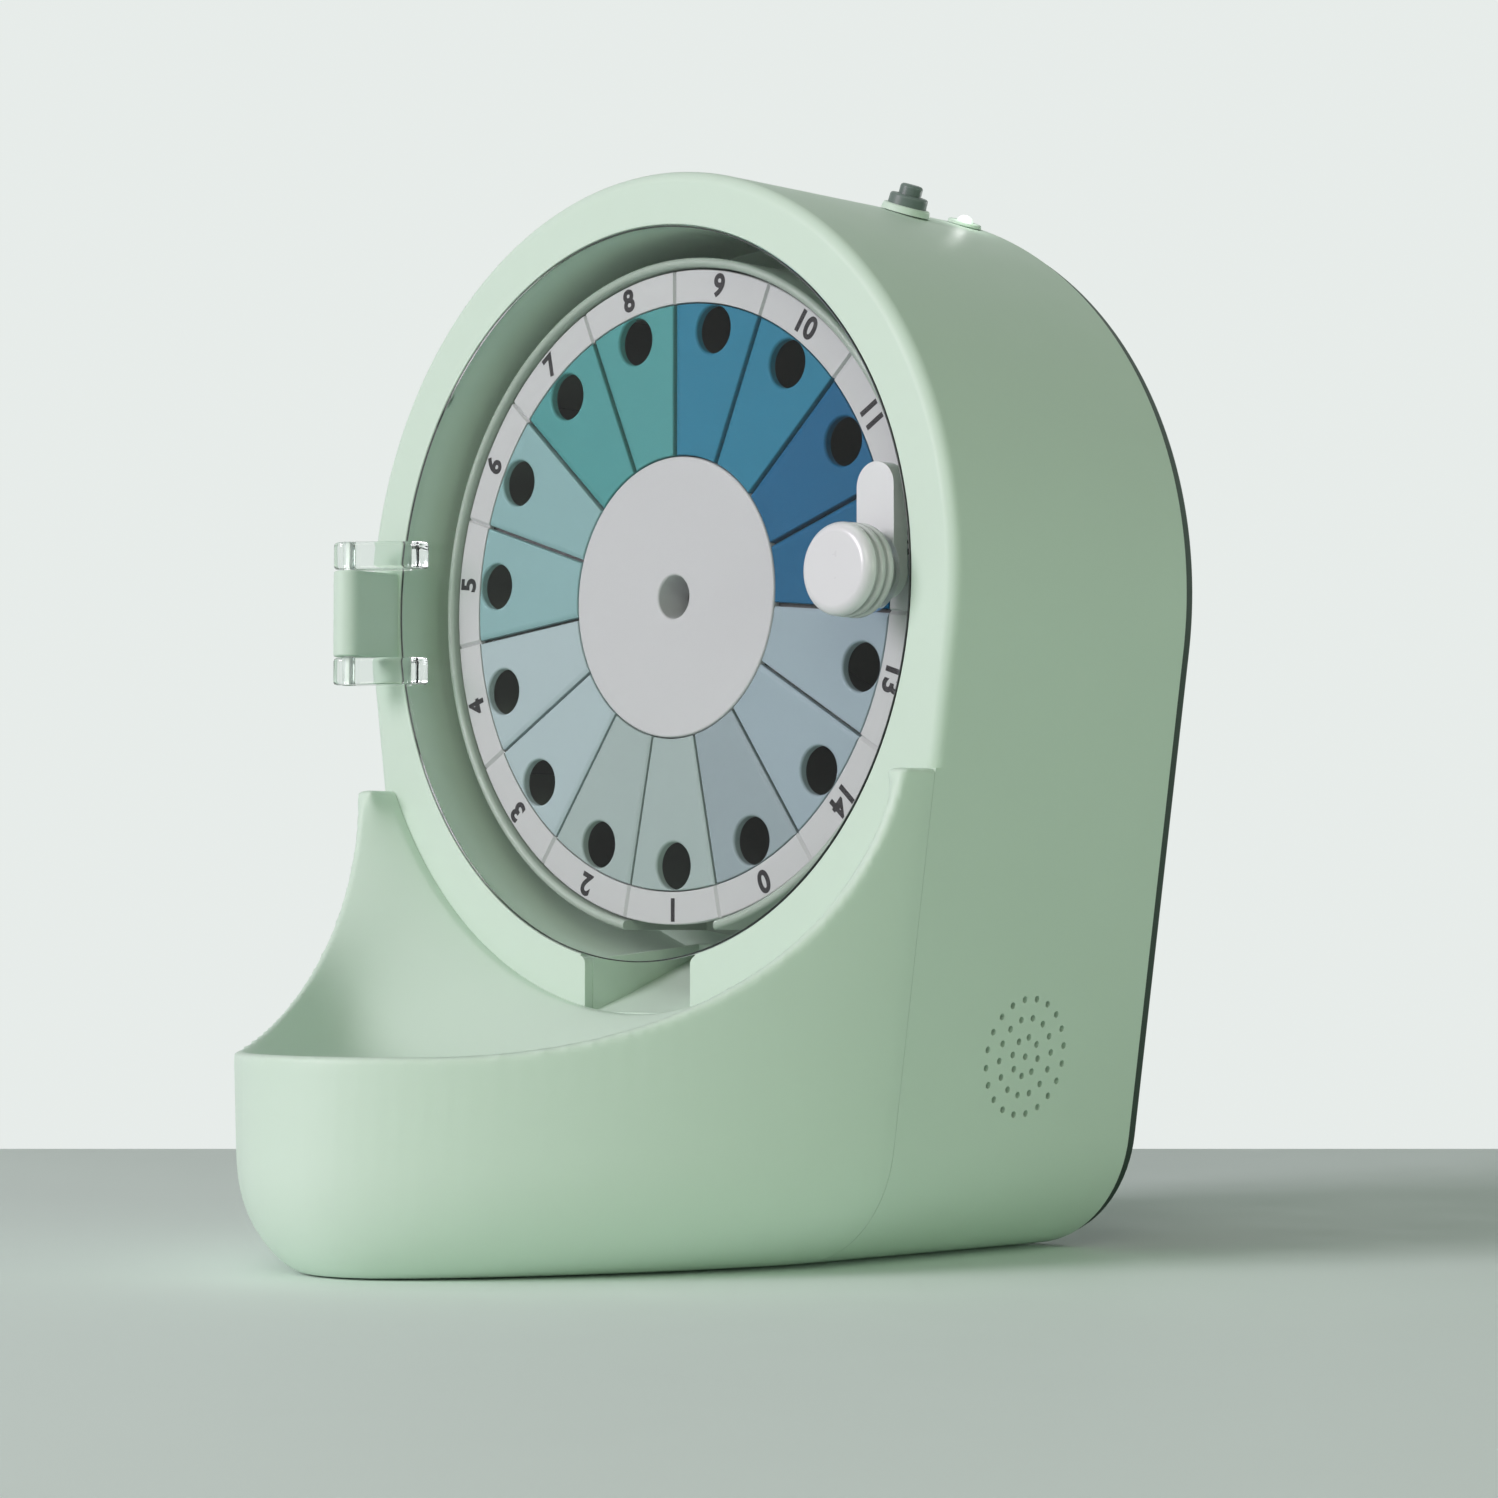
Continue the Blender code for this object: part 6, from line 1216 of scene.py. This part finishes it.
def roof_pieces():
    """The button's and the light's turned pieces, square to the roof, and the light's glow."""
    for name, look, body, node, slot, depth, steps, profile, fillets in ROOF_PIECES:
        turned = lathe([(radius, -height) for radius, height in rounded(profile, fillets)], steps)
        dress(at(turned, *roof_place(depth)), name, look, body, node, slot=slot)
    glow = bpy.data.lights.new("glow", "POINT")
    glow.energy = GLOW_POWER
    glow.shadow_soft_size = GLOW_SIZE
    lamp = linked("glow", glow)
    lamp.visible_camera = False
    up = Vector((sin(ROOF_ANGLE), 0, cos(ROOF_ANGLE)))
    ahead = Vector((sin(VIEW_ANGLE), -cos(VIEW_ANGLE), 0))
    lamp.location = roof_place(LIGHT_DEPTH)[0] + up * GLOW_LIFT + ahead * GLOW_REACH


# Finishes on the CAD nodes that stay

def finish_nodes():
    """Give the CAD nodes that show themselves their materials and smooth shading."""
    looks = {
        STEEL: "motor_bracket bracket_screw_1 bracket_screw_2 motor button_spring latch_screw "
               "spindle spindle_screw rear_cover_screw_1 rear_cover_screw_2 rear_cover_screw_3 "
               "rear_cover_screw_4",
        PIN_STEEL: "hinge_pin",
        COVER_GREEN: "battery_door",
        WRAP: "battery_pack",
        GREY: "power_inlet",
        RUBBER: "foot_pad_1 foot_pad_2 foot_pad_3 foot_pad_4",
        BRONZE: "spindle_bush",
        BOARD: "control_board switch_board",
        SPEAKER_BLACK: "speaker",
        WHEEL_GREY: "compartment_wheel",
        NYLON: "drive_gear motor_pinion",
    }
    for look, names in looks.items():
        for name in names.split():
            node = frame["nodes"][name]
            node.data.materials.clear()
            node.data.materials.append(look)
            node.data.shade_smooth()
            node.data.set_sharp_from_angle(angle=SHARP)


# Stage

def floor():
    """A pale floor that ends behind the object, where the photograph's table does."""
    look, tree, shader = new_material("stage_floor")
    patch = noise(tree, scale=40, detail=4)
    dark, light = (tuple(value * share for value in FLOOR_COLOUR) for share in FLOOR_SHADES)
    vary_colour(tree, shader, patch, dark, light)
    vary_gloss(tree, shader, patch, *FLOOR_GLOSS)
    shape = bmesh.new()
    for across, back in rectangle((-FLOOR_SIDE, FLOOR_BACK), (FLOOR_SIDE, -FLOOR_AHEAD)):
        shape.verts.new((across, back, 0))
    shape.faces.new(shape.verts)
    made = at(object_from(shape, "floor"), (0, 0, 0), (0, 0, VIEW_ANGLE))
    made.data.materials.append(look)


def studio():
    """One soft key from the front left, weak fills, and a pale backdrop that gloss shows too."""
    floor()
    world = bpy.data.worlds.new("studio")
    bpy.context.scene.world = world
    world.use_nodes = True
    tree = world.node_tree
    tree.nodes.clear()
    output = add(tree, "ShaderNodeOutputWorld")
    fill = add(tree, "ShaderNodeBackground", Color=(1, 1, 1, 1), Strength=FILL_STRENGTH)
    seen = add(tree, "ShaderNodeBackground", Color=(*BACKDROP_COLOUR, 1),
               Strength=BACKDROP_STRENGTH)
    shows = any_ray(tree, "Is Camera Ray", "Is Glossy Ray", "Is Transmission Ray")
    blend_shaders(tree, shows, fill, seen, output)
    for name, place, size, power, colour in LAMPS:
        data = bpy.data.lights.new(name, "AREA")
        data.shape = "DISK"
        data.size = size
        data.energy = power
        data.color = colour
        lamp = linked(name, data)
        lamp.location = place
        lamp.rotation_euler = (LIGHT_TARGET - Vector(place)).to_track_quat("-Z", "Y").to_euler()


def camera():
    """The photograph's own view: low, from the object's front right."""
    data = bpy.data.cameras.new("camera")
    data.lens = CAMERA_LENS
    data.sensor_width = CAMERA_SENSOR
    data.clip_start = CAMERA_NEAR
    view = linked("camera", data)
    x, y, z = CAMERA_PLACE
    view.location = (x, FRONT + y, FOOT + z)
    view.rotation_euler = (CAMERA_TILT, 0, VIEW_ANGLE)
    bpy.context.scene.camera = view


camera()
studio()
housing()
chute()
tray()
rear_cover()
cup()
lids()
label_band()
digits()
hub()
door()
latch()
roof_pieces()
finish_nodes()
bpy.context.scene.view_settings.view_transform = "Standard"
